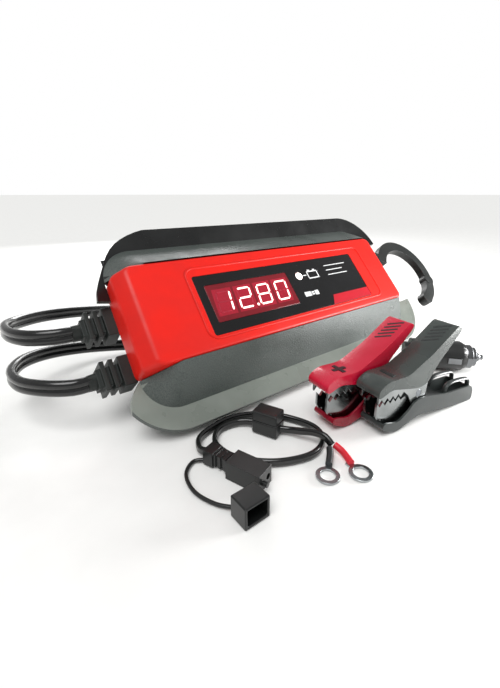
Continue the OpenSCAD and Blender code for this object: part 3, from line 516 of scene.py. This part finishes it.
class Repeat:
    """A node tree that puts one shape at each point of a row, with named sizes."""

    def __init__(self, name: str, finish: Finish, round_shape: bool) -> None:
        """Builds the tree.

        Args:
            name: The tree's name.
            finish: The finish that it sets on the result.
            round_shape: Discs when true, bars when false.
        """
        self.tree = bpy.data.node_groups.new(name, "GeometryNodeTree")
        self.finish = finish
        face = self.tree.interface
        for label, kind in (("Count", "NodeSocketInt"), ("Start", "NodeSocketVector"),
                            ("Step", "NodeSocketVector"), ("Size", "NodeSocketVector"),
                            ("Turn", "NodeSocketVector")):
            face.new_socket(label, in_out="INPUT", socket_type=kind)
        face.new_socket("Geometry", in_out="OUTPUT", socket_type="NodeSocketGeometry")
        inner = self.tree.nodes.new("NodeGroupInput")
        row = add(self.tree, "GeometryNodeMeshLine", settings={"mode": "OFFSET"},
                  Count=inner.outputs["Count"], Offset=inner.outputs["Step"])
        self.tree.links.new(inner.outputs["Start"], row.inputs["Start Location"])
        if round_shape:
            split = add(self.tree, "ShaderNodeSeparateXYZ", Vector=inner.outputs["Size"])
            shape = add(self.tree, "GeometryNodeMeshCylinder", Vertices=24, Radius=split.outputs[0],
                        Depth=split.outputs[2])
        else:
            shape = add(self.tree, "GeometryNodeMeshCube", Size=inner.outputs["Size"])
        turn = add(self.tree, "FunctionNodeEulerToRotation", _0=inner.outputs["Turn"])
        put = add(self.tree, "GeometryNodeInstanceOnPoints", Points=row.outputs["Mesh"],
                  Instance=shape.outputs["Mesh"], Rotation=turn.outputs[0])
        real = add(self.tree, "GeometryNodeRealizeInstances", Geometry=put.outputs[0])
        dress = add(self.tree, "GeometryNodeSetMaterial", Geometry=real.outputs[0],
                    Material=finish.material())
        out = self.tree.nodes.new("NodeGroupOutput")
        self.tree.links.new(dress.outputs[0], out.inputs[0])

    def make(self, name: str, place: Matrix, rounding: float, **sizes: object) -> bpy.types.Object:
        """Makes the repeated shapes as one plain mesh.

        Args:
            name: The piece's name.
            place: Matrix from the row's own frame, in millimetres, to the object's.
            rounding: Edge rounding in millimetres.
            **sizes: Values for the tree's named inputs.

        Returns:
            The new object at the origin.
        """
        obj = bpy.data.objects.new(name, bpy.data.meshes.new(name))
        bpy.context.scene.collection.objects.link(obj)
        mod = obj.modifiers.new("repeat", "NODES")
        mod.node_group = self.tree
        for item in self.tree.interface.items_tree:
            if item.in_out == "INPUT" and item.name in sizes:
                mod[item.identifier] = sizes[item.name]
        settle(obj)
        obj.data.transform(place)
        if not obj.data.materials:
            obj.data.materials.append(self.finish.material())
        return bevel(obj, rounding, 2)


# ---------- leads ----------

def smooth_curve(points: Sequence[Point], steps: int) -> list[Vector]:
    """Gives points on the smooth curve through a route.

    Args:
        points: The route's points.
        steps: Points made for each stretch.

    Returns:
        The curve's points, ends included.
    """
    p = [Vector(q) for q in points]
    out: list[Vector] = []
    for i in range(len(p) - 1):
        a, b, c, d = p[max(i - 1, 0)], p[i], p[i + 1], p[min(i + 2, len(p) - 1)]
        for k in range(steps):
            t = k / steps
            out.append(0.5 * (2 * b + (c - a) * t + (2 * a - 5 * b + 4 * c - d) * t * t
                              + (3 * b - 3 * c + d - a) * t ** 3))
    return out + [p[-1]]


class Section(Enum):
    """The section of a lead."""

    TWIN = "twin"
    ROUND = "round"


def section(kind: Section, height: float, width: float, count: int = 20) -> Outline:
    """Gives a lead's section: a figure of eight for a twin lead, an ellipse for a round one."""
    if kind is Section.ROUND:
        return [(width / 2 * math.cos(a), height / 2 * math.sin(a))
                for a in (2 * math.pi * (k + 0.5) / count for k in range(count))]
    radius = width / 2
    offset = height / 2 - radius
    start = -math.asin(offset / radius)
    half = count // 2
    upper = [(radius * math.cos(a), offset + radius * math.sin(a))
             for a in (start + (math.pi - 2 * start) * k / half for k in range(half + 1))]
    return upper + [(-x, -y) for x, y in upper[1:-1]]


def swept(name: str, route: Sequence[Point], kind: Section, height: float, width: float, finish: Finish,
          steps: int = 4) -> tuple[bpy.types.Object, list[Vector]]:
    """Sweeps a lead's section along a route given in millimetres.

    Args:
        name: The piece's name.
        route: Points of the route.
        kind: The lead's section.
        height: Its height, along the wide side.
        width: Its width.
        finish: Its finish.
        steps: Rings made for each stretch of the route.

    Returns:
        The object, and its ring centres in metres.
    """
    path = smooth_curve(route, steps)
    rings = rings_along(path, [section(kind, height, width)] * len(path))
    obj = piece(name, *loft(rings), finish, Matrix.Scale(MM, 4))
    settle(obj, 50)
    return obj, [q * MM for q in path]


def wound(centre: tuple[float, float], start: float, sweep: float, way: int, radii: Sequence[float],
          columns: int, low: float, high: float) -> list[Point]:
    """Gives the points of a flat coil, wound inwards on the ground and then outwards on top.

    Args:
        centre: The coil's middle.
        start: Angle of its first point, in degrees.
        sweep: Angle that it turns through.
        way: 1 for anticlockwise, -1 for clockwise.
        radii: Radius of each turn in order.
        columns: Turns in the lower layer.
        low: Height of the lower layer's middle.
        high: Height of the upper layer's middle.

    Returns:
        One point every COIL_STEP degrees.
    """
    out: list[Point] = []
    for k in range(int(sweep / COIL_STEP) + 1):
        turns = k * COIL_STEP / 360
        i = min(int(turns), len(radii) - 1)
        nxt = radii[min(i + 1, len(radii) - 1)]
        ease = min(1.0, max(0.0, (turns - i - 0.75) / 0.25))
        ease = ease * ease * (3 - 2 * ease)
        r = radii[i] + (nxt - radii[i]) * ease
        z = low if i + 1 < columns else high
        if i + 1 == columns:
            z = low + (high - low) * ease
        a = math.radians(start + way * k * COIL_STEP)
        out.append((centre[0] + r * math.cos(a), centre[1] + r * math.sin(a), z))
    return out


@dataclass
class Leads:
    """The mains lead and the output lead with their coils, plug and connector."""

    width: float = 8.0
    mains_centre: tuple[float, float] = (25, 120)
    output_centre: tuple[float, float] = (135, 115)
    mains_route: list[Point] = field(default_factory=lambda: [
        (-122, 9, 44), (-133, 10, 44), (-144, 18, 43.5), (-150, 32, 42.5), (-150, 50, 41), (-143, 67, 38),
        (-128, 82, 35), (-108, 93, 31), (-84, 105, 25), (-64, 121, 18), (-44, 143, 12), (-22, 160, 7.5),
        (2, 170, 5)])
    output_route: list[Point] = field(default_factory=lambda: [
        (-122, -8.5, 24), (-132, -8, 24), (-143, 0, 24), (-151, 14, 23), (-152, 32, 22), (-144, 50, 20),
        (-129, 62, 17), (-108, 68, 13), (-84, 67, 9), (-58, 60, 6), (-30, 51, 4.5), (0, 47, 4.5),
        (30, 46, 4.5), (60, 48, 4.5), (86, 54, 4.5), (110, 62, 4.5)])

    def build(self) -> None:
        plug = softened("mains_plug", PLUG, 1.6, 4)
        blades = softened("mains_blades", BRASS, 0.5, 2)
        for obj, node in ((plug, "mains_plug"), (blades, "mains_blades")):
            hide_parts(node)
            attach(obj, "charger")
        turns = wound(self.mains_centre, 90, 1620, -1, (52, 44, 36, 36, 44), 3, 4.1, 12.1)
        tail = [(-2, 82, 16), (-12, 90, 21), (-18, 97, 23.2), (-19, 103, 23.5)]
        self.lead("mains_lead", self.mains_route + turns + tail, "mains_cord",
                  "mains_coil")
        tip = softened("output_connector", PLUG, 0.9, 3)
        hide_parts("output_connector")
        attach(tip, "charger")
        turns = wound(self.output_centre, 270, 900, 1, (48, 40, 40), 2, 4.1, 12.1)
        tail = [(112, 154, 15), (101, 149, 18), (94, 143, 20.2), (91, 136, 20.5)]
        self.lead("output_lead", self.output_route + turns + tail, "output_cord",
                  "output_coil")

    def lead(self, name: str, route: list[Point], cord: str, coil: str) -> None:
        """Makes one twin lead along its whole route, coil and all."""
        obj, path = swept(name, route, Section.TWIN, self.width, self.width * 0.58, LEAD)
        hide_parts(cord, coil)
        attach(obj, "charger")


@dataclass
class Harness:
    """The ring-terminal harness: lead, fuse holder, connector, dust cap, tether, sleeves and rings."""

    wire: float = 3.6
    tether: float = 1.6
    route: list[Point] = field(default_factory=lambda: [
        (-93, -63, 4), (-94, -57, 2.2), (-90, -50, 2), (-80, -46.5, 2), (-68, -46, 2), (-56, -51.5, 2),
        (-47, -62, 2), (-42, -76, 2), (-46, -86, 2), (-57, -90, 2), (-70, -86, 2), (-80, -78, 2),
        (-86, -68, 2), (-86, -57, 2), (-79, -50, 2), (-69, -51, 2.4), (-63, -57, 3), (-59, -66, 3),
        (-54, -72, 3), (-52, -77, 4.2), (-49.5, -83, 5.8), (-48, -88.5, 6), (-47.5, -92.5, 3.6)])
    tether_route: list[Point] = field(default_factory=lambda: [
        (-95.5, -63.6, 1.6), (-100, -61, 1), (-106, -66, 1), (-108, -76, 1), (-105, -86, 1),
        (-100, -93.4, 1.8)])
    red_route: list[Point] = field(default_factory=lambda: [
        (-45.9, -92.7, 3.2), (-45.6, -97, 2), (-48.1, -103.5, 1.6)])
    black_route: list[Point] = field(default_factory=lambda: [
        (-49.2, -92.7, 3.2), (-51.6, -95, 2), (-56.2, -98.3, 1.6)])

    def build(self) -> None:
        """Makes the harness with its lead and tether."""
        for node, finish, width, body in (
                ("fuse_holder", PLUG, 0.8, "charger"), ("fuse_cap", PLUG, 0.9, "fuse_cap"),
                ("blade_fuse", FUSE, 0.3, "charger"), ("harness_connector", PLUG, 1.0, "charger"),
                ("connector_dust_cap", PLUG, 1.5, "charger"), ("red_ring_terminal", TIN, 0.15, "charger"),
                ("black_ring_terminal", TIN, 0.15, "charger")):
            obj = softened(node, finish, width)
            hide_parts(node)
            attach(obj, body)
        for name, route, finish in (("red_ring_sleeve", self.red_route, RED_SLEEVE),
                                    ("black_ring_sleeve", self.black_route, BLACK_SLEEVE)):
            obj, _ = swept(name + "_shrunk", route, Section.ROUND, 3.0, 3.0, finish, 6)
            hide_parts(name)
            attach(obj, "charger")
        obj, path = swept("harness_lead", self.route, Section.TWIN, self.wire, self.wire * 0.66, LEAD, 6)
        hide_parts("harness_cord")
        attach(obj, "charger")
        obj, path = swept("cap_tether_cord", self.tether_route, Section.ROUND, self.tether, self.tether,
                          PLUG, 6)
        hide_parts("cap_tether")
        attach(obj, "charger")


# ---------- case ----------

@dataclass
class CaseShell:
    """The covers, the bead and the side rails."""

    edge: float = 1.6
    corner: float = 4.0
    half_length: float = 106.0
    panel_half: float = 100.0
    half_width: float = 27.5
    wall: float = 2.4
    rail_edge: float = 0.45

    def build(self) -> None:
        """Makes the covers, the bead and the rails."""
        front = self.front()
        bead = self.bead()
        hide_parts("front_cover")
        back = softened("back_cover", BLACK_ABS, 0.8, 3)
        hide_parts("back_cover")
        pieces = [front, bead, back]
        for node in ("upper_rail", "lower_rail"):
            rail = softened(node, RAIL_GRAIN, self.rail_edge, 3)
            self.two_tone(rail)
            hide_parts(node)
            pieces.append(rail)
        for obj in pieces:
            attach(obj, "charger")
            LOG.info("made %s", obj.name)

    def front(self) -> bpy.types.Object:
        """Makes the front cover: rounded outside, hollow, with its recess and windows."""
        def shell(inset: float) -> Solid:
            """Gives the cover's block, drawn in by its wall."""
            h, p, w = self.half_length - inset, self.panel_half - inset * 0.6, self.half_width - inset
            z1, z2 = -7 - inset * 0.4, -20.0 if inset == 0 else -24.0
            return prism([(-p, -inset), (p, -inset), (h, z1), (h, z2), (-h, z2), (-h, z1)], -w, w)

        def end_corner(a: Vector, b: Vector) -> bool:
            """Tells whether an edge runs down a corner of an end face."""
            return abs(a.x) > 99 and abs(b.x) > 99 and abs(a.y - b.y) < 0.1 and abs(a.z - b.z) > 3

        def upper_edge(a: Vector, b: Vector) -> bool:
            """Tells whether an edge lies above the joint."""
            return min(a.z, b.z) > -19

        obj = rounded_solid("front_cover_moulded", shell(0), RED_ABS, CASE,
                            [(self.corner, 6, end_corner), (self.edge, 4, upper_edge)])
        label = slab(ring_outline(-66.5, -20.5, 68, 15.5, 1.5), -0.8, 2)
        window = slab(ring_outline(-61.4, -13.85, -0.6, 9.05, 1), -4, 1)
        light = slab(oval(2.65, 2.65, 32, 9.3, 4.5), -4, 1)
        ends, faces = slab(oval(3.26, 3.26, 32, 14, -13), 102, 108)
        hook_bore = [(x, y, z) for y, z, x in ends], faces
        cutters = [shell(self.wall), label, window, light, hook_bore]
        return carve(obj, cutters, RED_ABS, CASE)

    def bead(self) -> bpy.types.Object:
        """Makes the low rounded bead that runs round the label."""
        rings = []
        outline = ring_outline(-69.4, -21.9, 79.4, 20.4, 5, 8)
        n = len(outline)
        for i, (x, y) in enumerate(outline):
            (ax, ay), (bx, by) = outline[i - 1], outline[(i + 1) % n]
            d = math.hypot(bx - ax, by - ay)
            nx, ny = (by - ay) / d, -(bx - ax) / d
            rings.append([(x + nx * 0.75 * math.cos(a), y + ny * 0.75 * math.cos(a), 0.5 * math.sin(a))
                          for a in (k * math.pi / 6 for k in range(-1, 8))])
        m = len(rings[0])
        faces = [[i * m + k, i * m + (k + 1) % m, ((i + 1) % n) * m + (k + 1) % m, ((i + 1) % n) * m + k]
                 for i in range(n) for k in range(m)]
        obj = piece("front_cover_bead", [p for r in rings for p in r], faces, RED_ABS, CASE)
        return settle(obj, 60)

    def two_tone(self, rail: bpy.types.Object) -> None:
        """Gives a rail's lip the polished finish and leaves the slope grained; the upper rail's lip gets the
        near-black copy, which is painted shade.
        """
        rail.data.materials.append((LIP_SHADED if rail.name.startswith("upper") else RAIL_SMOOTH).material())
        back = CASE.inverted()
        turn = Matrix.Rotation(-LEAN, 3, "X")
        for face in rail.data.polygons:
            mid = back @ face.center
            normal = turn @ face.normal
            outward = normal.y * (1 if mid.y > 0 else -1)
            if mid.z > -16.5 and (mid.z < -11.5 and outward < 0.12 or mid.z < -15.2):
                face.material_index = 1


@dataclass
class Panel:
    """The display, its digits, the status light and the printed marks."""

    digit_w: float = 8.6
    digit_h: float = 12.2
    stroke: float = 1.05
    pitch: float = 14.2
    top: float = -0.19
    lit_rise: float = 0.05
    print_rise: float = 0.04
    cell_depth: float = 0.02

    def build(self) -> None:
        """Makes the window, the label, the status light, the digits and the marks on the panel."""
        window = softened("display_window", WINDOW, 0.3, 2)
        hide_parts("display_window")
        light = softened("status_led", LAMP, 0.3, 2)
        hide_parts("status_led")
        label = softened("face_label", LABEL, 0.15, 2)
        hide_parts("face_label")
        marks = [window, light, label]
        lit_top, print_top = self.top + self.lit_rise, self.top + self.print_rise
        lit = {"1": "bc", "2": "abged", "8": "abcdefg", "0": "abcdef"}
        on, off = [], []
        for k, digit in enumerate("1280"):
            for name, shape in self.segments(-57.6 + self.pitch * k, -8.6):
                (on if name in lit[digit] else off).append(slab(shape, self.top, lit_top))
        on.append(slab(oval(0.8, 0.8, 12, -31.6, -8.3), self.top, lit_top))
        cells = [slab([(x, -10.6), (x + 12.6, -10.6), (x + 14.2, 5.6), (x + 1.6, 5.6)],
                      self.top - self.cell_depth, self.top)
                 for x in (-59.6 + self.pitch * k for k in range(4))]
        marks.append(piece("digit_cells", *joined(cells), CELL, CASE))
        marks.append(piece("lit_segments", *joined(on), LIT, CASE))
        marks.append(piece("unlit_segments", *joined(off), UNLIT, CASE))
        plain = [slab(s, self.top, print_top) for s in self.prints()]
        marks.append(piece("printed_marks", *joined(plain), PRINT, CASE))
        block = [(27, -20.1), (67.6, -20.1), (67.6, -13.4), (30.6, -13.4)]
        marks.append(piece("printed_block", *slab(block, self.top, print_top), RED_PRINT, CASE))
        for obj in marks:
            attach(obj, "charger")
            LOG.info("made %s", obj.name)

    def segments(self, x: float, y: float) -> list[tuple[str, Outline]]:
        """Gives the seven strokes of one digit.

        Args:
            x: Left edge of the digit.
            y: Foot of the digit.

        Returns:
            Each stroke's letter and its outline.
        """
        w, h, t = self.digit_w, self.digit_h, self.stroke
        half, gap, lean = h / 2, 0.35, 0.14

        def bar(x0: float, y0: float, x1: float, y1: float) -> Outline:
            """Gives a pointed stroke between two points, leaning with the digit."""
            dx, dy = (x1 - x0), (y1 - y0)
            n = math.hypot(dx, dy)
            u, v = (dx / n, dy / n), (-dy / n, dx / n)
            k = t / 2
            raw = [(x0 + u[0] * gap, y0 + u[1] * gap),
                   (x0 + u[0] * (gap + k) - v[0] * k, y0 + u[1] * (gap + k) - v[1] * k),
                   (x1 - u[0] * (gap + k) - v[0] * k, y1 - u[1] * (gap + k) - v[1] * k),
                   (x1 - u[0] * gap, y1 - u[1] * gap),
                   (x1 - u[0] * (gap + k) + v[0] * k, y1 - u[1] * (gap + k) + v[1] * k),
                   (x0 + u[0] * (gap + k) + v[0] * k, y0 + u[1] * (gap + k) + v[1] * k)]
            return [(x + a + lean * b, y + b) for a, b in raw]

        return [("a", bar(0, h, w, h)), ("b", bar(w, half, w, h)), ("c", bar(w, 0, w, half)),
                ("d", bar(0, 0, w, 0)), ("e", bar(0, 0, 0, half)), ("f", bar(0, half, 0, h)),
                ("g", bar(0, half, w, half))]

    def prints(self) -> list[Outline]:
        """Gives the outlines of the plain marks beside the display."""
        def rect(x0: float, y0: float, x1: float, y1: float) -> Outline:
            """Gives a rectangle from two corners."""
            return [(x0, y0), (x1, y0), (x1, y1), (x0, y1)]

        battery = [rect(17, 1.2, 27, 2), rect(17, 6.2, 27, 7), rect(17, 1.2, 17.8, 7), rect(26.2, 1.2, 27, 7),
                   rect(18.5, 7, 20.5, 8), rect(23.5, 7, 25.5, 8), rect(12.6, 4, 16, 4.6)]
        plug = [rect(6.4, -10.6, 12, -7.4), rect(12.6, -10.2, 15, -9.2), rect(12.6, -8.8, 15, -7.8),
                rect(15.6, -10.6, 19, -7.4)]
        rows = [rect(36, 8.6 - 3.6 * k, 36 + length, 9.2 - 3.6 * k) for k, length in enumerate((22, 17, 20))]
        return battery + plug + rows


@dataclass
class Fittings:
    """The hook, the strain reliefs and the screws."""

    boss_x: float = 80.0
    boss_y: tuple[float, float] = (20.0, -8.0)
    case_depth: float = 64.0
    head_mid: float = 26.1
    slot_mid: float = 24.98
    relief_depth: float = 27.0

    def build(self) -> None:
        """Makes the hook, both reliefs and the case screws."""
        hook = softened("hook", HOOK, 1.5, 4)
        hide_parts("hook")
        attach(hook, "hook")
        leads = Leads()
        for node, y, route in (("mains_relief", 8.0, leads.mains_route),
                               ("output_relief", -19.0, leads.output_route)):
            relief = softened(node, RELIEF, 0.3, 3)
            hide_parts(node)
            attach(relief, "charger")
            self.boot(node + "_boot", y, route)
        heads = Repeat("screw row", ZINC, True)
        slots = Repeat("screw slots", EPOXY, False)
        for side, x in (("left", -self.boss_x), ("right", self.boss_x)):
            step = (0, self.boss_y[1] - self.boss_y[0], 0)
            head, slot = ((x, self.boss_y[0], z - self.case_depth) for z in (self.head_mid, self.slot_mid))
            obj = heads.make(f"case_screw_heads_{side}", CASE, 0.5, Count=2, Start=head, Step=step,
                             Size=(3.3, 3.3, 2.2), Turn=(0, 0, 0))
            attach(obj, "charger")
            for k, turn in enumerate((0.3, 0.3 + math.pi / 2)):
                bar = slots.make(f"case_screw_slots_{side}_{k}", CASE, 0.05, Count=2, Start=slot, Step=step,
                                 Size=(3.8, 0.8, 0.1), Turn=(0, 0, turn))
                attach(bar, "charger")

    def boot(self, name: str, y: float, route: Sequence[Point]) -> None:
        """Makes the tapered boot where a lead leaves its relief.

        Args:
            name: The piece's name.
            y: The relief's height up the panel.
            route: The lead's route.
        """
        inner = CASE @ Vector((-112, y, -self.relief_depth))
        path = smooth_curve([inner / MM] + [Vector(p) for p in route[:3]], 8)[:12]
        tapers = [1 - i / (len(path) - 1) for i in range(len(path))]
        shapes = [oval(2.6 + 1.2 * taper, 4.2 + 0.6 * taper, 20) for taper in tapers]
        obj = piece(name, *loft(rings_along(path, shapes)), RELIEF, Matrix.Scale(MM, 4))
        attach(settle(obj, 50), "charger")


# ---------- clamps and plug ----------

@dataclass
class Clamp:
    """One battery clamp: handles, jaws, pin, spring, grip slots and its sign."""

    colour: str
    at: tuple[float, float]
    turn: float
    finish: Finish
    # dark: the darker copy of the clamp plastic, painted shade on the lower handle and wire clips
    dark: Finish
    grip: Finish
    plus: bool
    jaw_l: float = 30.0
    handle_l: float = 46.0
    pivot_z: float = 16.0
    width: float = 14.0
    grip_from: tuple[float, float] = (5.5, 20.0)
    grip_to: tuple[float, float] = (24.0, 31.5)

    @property
    def place(self) -> Matrix:
        """Matrix from the clamp's own frame, in millimetres, to the world."""
        return (Matrix.Translation((self.at[0] * MM, self.at[1] * MM, 0))
                @ Matrix.Rotation(math.radians(self.turn), 4, "Z") @ Matrix.Scale(MM, 4))

    def build(self) -> None:
        """Makes the clamp's pieces."""
        upper = f"{self.colour}_upper"
        for node, finish, width, body in (
                ("upper_jaw", JAW, 0.25, upper), ("lower_jaw", JAW, 0.25, "charger"),
                ("pivot_pin", ZINC, 0.3, "charger")):
            obj = softened(f"{self.colour}_{node}", finish, width)
            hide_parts(f"{self.colour}_{node}")
            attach(obj, body)
            LOG.info("made %s", obj.name)
        self.handles()
        self.spring()
        run, rise = (b - a for a, b in zip(self.grip_from, self.grip_to))
        top = (Matrix.Translation((self.grip_from[0], 0, self.pivot_z + self.grip_from[1]))
               @ Matrix.Rotation(-math.atan2(rise, run), 4, "Y"))
        slots = Repeat(f"{self.colour} grip slots", self.grip, False)
        obj = slots.make(f"{self.colour}_grips", self.place @ top, 0.12, Count=5, Start=(7.6, 0.0, -0.1),
                         Step=(2.6, 0.0, 0.0), Size=(1.1, 8.6, 0.4), Turn=(0.0, 0.0, 0.55))
        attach(obj, upper)
        self.sign()
        self.wire_clip()

    def handles(self) -> None:
        """Makes both handles as rounded shells that are open towards the jaws."""
        j, h, (gx, gz), half = self.jaw_l, self.handle_l, self.grip_to, self.width / 2
        upper = [(-j, 5), (-j - 0.5, 9.5), (-j + 5, 12.8), (-11, 12.5), (5.5, 20), (gx, gz), (gx + 3, gz - 2),
                 (gx + 1.5, gz - 4.3), (11, 14.3), (4, 5), (-2, 4), (-10, 5.6), (-j + 8, 8.3)]
        upper_in = [(-j + 1, 3), (-j + 1, 8.6), (-j + 5.4, 11.4), (-11.4, 11.1), (6, 18.5),
                    (gx - 2, gz - 3.1), (gx + 0.2, gz - 7), (11, 11), (4, 2), (-10, 2), (-j + 8, 4)]
        lower = [(-j + 4, -12), (-16, -16), (-6, -13), (0, -11.5), (26, -15), (h - 4, -16), (h, -16),
                 (h + 0.5, -10), (h - 2, -7), (24, -6), (12, -4), (5, -2.5), (-3, -2.5), (-8, -7), (-15, -11),
                 (-j + 5, -8.5)]
        lower_in = [(-j + 5.4, -7.5), (-j + 5.6, -10.9), (-16, -14.4), (-6, -11.4), (0, -9.9), (26, -13.4),
                    (h - 1.5, -14.3), (h - 1.5, -5), (24, -3), (5, 0), (-3, 0), (-8, -5), (-15, -9)]
        place = self.place @ Matrix.Translation((0, 0, self.pivot_z))
        for name, outer, inner, wall, finish, body in (
                ("upper_handle", upper, upper_in, 1.4, self.finish, f"{self.colour}_upper"),
                # The lower handle wears the darker copy of the clamp plastic: painted shade under the upper
                # handle
                ("lower_handle", lower, lower_in, 1.0, self.dark, "charger")):
            curves = eased(outer, 3.2)
            side = [p for curve in curves[:7 if name == "upper_handle" else 8] for p in curve]
            marks = {(round(x, 3), round(z, 3)) for x, z in side}

            def outside(a: Vector, b: Vector) -> bool:
                """Tells whether an edge lies on the handle's outer face."""
                return all((round(p.x, 3), round(p.z, 3)) in marks for p in (a, b)) and abs(a.y - b.y) < 0.1

            obj = rounded_solid(f"{self.colour}_{name}_moulded",
                                prism([p for curve in curves for p in curve], -half, half), finish, place,
                                [(1.3, 4, outside)], 0)
            inner = [p for curve in eased(inner, 2.6) for p in curve]
            carve(obj, [prism(inner, -half + wall, half - wall)], finish, place)
            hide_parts(f"{self.colour}_{name}")
            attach(obj, body)
            LOG.info("made %s", obj.name)

    def wire_clip(self) -> None:
        """Makes the two loops that hold a wire at the end of the lower handle."""
        for side, y in (("near", -4.6), ("far", 4.6)):
            route = [(23, y, 9), (24, y, 12.5), (28, y, 14), (38, y, 13.4), (43, y, 12), (44, y, 8)]
            path = smooth_curve(route, 5)
            strip = [(-x, y) for y, x in oval(1.3, 0.9, 10)]
            rings = rings_along(path, [strip] * len(path), (0, 1, 0))
            # The clips wear the darker copy of the clamp plastic: painted shade
            obj = piece(f"{self.colour}_wire_clip_{side}", *loft(rings), self.dark, self.place)
            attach(settle(obj, 50), "charger")

    def sign(self) -> None:
        """Makes the raised plus or minus sign on the upper handle, dark with painted shade."""
        local = Matrix.Translation((-17.5, 0, self.pivot_z + 12.6))
        bars = [box_faces((-1.1, -4, -0.4), (1.1, 4, 0.45))]
        if self.plus:
            bars.append(box_faces((-4, -1.1, -0.4), (4, 1.1, 0.4)))
        # The sign wears the grip-slot finish: painted shade for the shadow round its raised strokes
        obj = piece(f"{self.colour}_sign", *joined(bars), self.grip, self.place @ local)
        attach(bevel(obj, 0.25, 2), f"{self.colour}_upper")

    def spring(self) -> None:
        """Makes the torsion spring round the pin."""
        turns, wire, radius, half = 3.5, 0.6, 2.9, 2.2
        route = []
        for k in range(int(turns * 16) + 1):
            a = k / 16 * 2 * math.pi
            route.append(Vector((radius * math.cos(a), -half + 2 * half * k / (turns * 16),
                                 self.pivot_z + radius * math.sin(a))))
        rings = rings_along(route, [oval(wire, wire, 8)] * len(route), (0, 1, 0))
        obj = piece(f"{self.colour}_spring_wire", *loft(rings), SPRING, self.place)
        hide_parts(f"{self.colour}_spring")
        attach(settle(obj, 60), "charger")


@dataclass
class SocketPlug:
    """The twelve-volt socket plug."""

    edges: dict[str, float] = field(default_factory=lambda: {"barrel": 0.6, "collar": 0.7, "tip": 0.35,
                                                            "left_contact": 0.4, "right_contact": 0.4})

    def build(self) -> None:
        """Makes the barrel, collar, tip and side contacts."""
        bodies = {"tip": "plug_tip", "left_contact": "left_contact", "right_contact": "right_contact"}
        for part, width in self.edges.items():
            obj = softened(f"socket_plug_{part}", PLUG if part == "barrel" else CHROME, width, 3)
            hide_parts(f"socket_plug_{part}")
            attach(obj, bodies.get(part, "charger"))
            LOG.info("made %s", obj.name)


@dataclass
class Inside:
    """The pieces inside the case and the few that keep their CAD shape."""

    finishes: dict[str, Finish] = field(default_factory=lambda: {
        "base_pad": PAD, "display_module": EPOXY, "display_board": BOARD, "circuit_board": BOARD,
        "transformer_core": FERRITE, "transformer_winding": TAPE, "capacitors": CAN, "heat_sink": ALLOY,
        "power_transistors": EPOXY, "choke": COPPER, "mains_fuse": FUSE_TUBE, "case_screws": ZINC,
        "rail_screws": ZINC, "board_screws": ZINC, "hook_retainer": ZINC})

    def build(self) -> None:
        """Gives each carried-over piece its finish."""
        for node, finish in self.finishes.items():
            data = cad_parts[node].data
            data.materials.clear()
            data.materials.append(finish.material())


# ---------- studio ----------

def facing(way: Point) -> Matrix:
    """Gives the turn that points a camera or a lamp along a direction."""
    return Vector(way).to_track_quat("-Z", "Y").to_matrix().to_4x4()


@dataclass
class Studio:
    """The floor, the lights and the camera."""

    eye: Point = (-0.1656, -0.1840, 0.1110)
    forward: Point = (0.595, 0.7575, -0.2696)
    lens: float = 19.88
    shift: float = -0.064
    ambient: float = 0.45
    floor_reach: float = 40.0
    floor_level: float = -0.0002

    def camera(self) -> None:
        """Makes the camera."""
        data = bpy.data.cameras.new("camera")
        data.lens, data.sensor_width, data.shift_y = self.lens, 36.0, self.shift
        data.clip_start = 0.005
        cam = bpy.data.objects.new("camera", data)
        bpy.context.scene.collection.objects.link(cam)
        cam.matrix_world = Matrix.Translation(self.eye) @ facing(self.forward)
        bpy.context.scene.camera = cam

    def lights(self) -> None:
        """Makes the world, the soft boxes and the floor."""
        scene = bpy.context.scene
        scene.view_settings.view_transform = "Standard"
        world = bpy.data.worlds.new("studio")
        world.use_nodes = True
        tree = world.node_tree
        seen = add(tree, "ShaderNodeLightPath").outputs["Is Camera Ray"]
        strength = add(tree, "ShaderNodeMapRange", Value=seen, **{"To Min": self.ambient, "To Max": 1.0})
        tree.nodes["Background"].inputs["Color"].default_value = (1, 1, 1, 1)
        tree.links.new(strength.outputs[0], tree.nodes["Background"].inputs["Strength"])
        scene.world = world
        sun = bpy.data.lights.new("sun", "SUN")
        sun.energy, sun.angle = 1.9, math.radians(40)
        self.aim(sun, (-0.45, -0.25, 1.0), (0.0, 0.0, 0.0))
        for name, at, target, size, power in (
                ("right_box", (0.3, -0.27, 0.07), (0.08, -0.05, 0.03), 0.16, 2.2),
                ("back_box", (0.2, 0.6, 0.35), (0.08, 0.0, 0.06), 0.4, 3.0)):
            data = bpy.data.lights.new(name, "AREA")
            data.size, data.energy = size, power
            self.aim(data, at, target)
        reach, level = self.floor_reach, self.floor_level
        corners = [(x * reach, y * reach, level) for x, y in ((-1, -1), (1, -1), (1, 1), (-1, 1))]
        floor = piece("floor", corners, [[0, 1, 2, 3]], FLOOR)

    def aim(self, data: bpy.types.Light, at: Point, target: Point) -> None:
        """Puts a light somewhere and turns it to a target.

        Args:
            data: The light.
            at: Its place in metres.
            target: The point that it faces.
        """
        lamp = bpy.data.objects.new(data.name, data)
        bpy.context.scene.collection.objects.link(lamp)
        lamp.matrix_world = Matrix.Translation(at) @ facing(Vector(target) - Vector(at))


def main() -> None:
    """Builds the whole charger."""
    logging.basicConfig(level=logging.INFO)
    studio = Studio()
    studio.camera()
    Leads().build()
    Harness().build()
    CaseShell().build()
    Panel().build()
    Fittings().build()
    Clamp("red", (-9.7, -80), -8, CLAMP_RED, CLAMP_RED_SHADED, GRIP, True).build()
    Clamp("black", (5, -97.4), -8, CLAMP_GREY, CLAMP_GREY_SHADED, GRIP_GREY, False).build()
    SocketPlug().build()
    Inside().build()
    studio.lights()


if __name__ == "__main__":
    main()
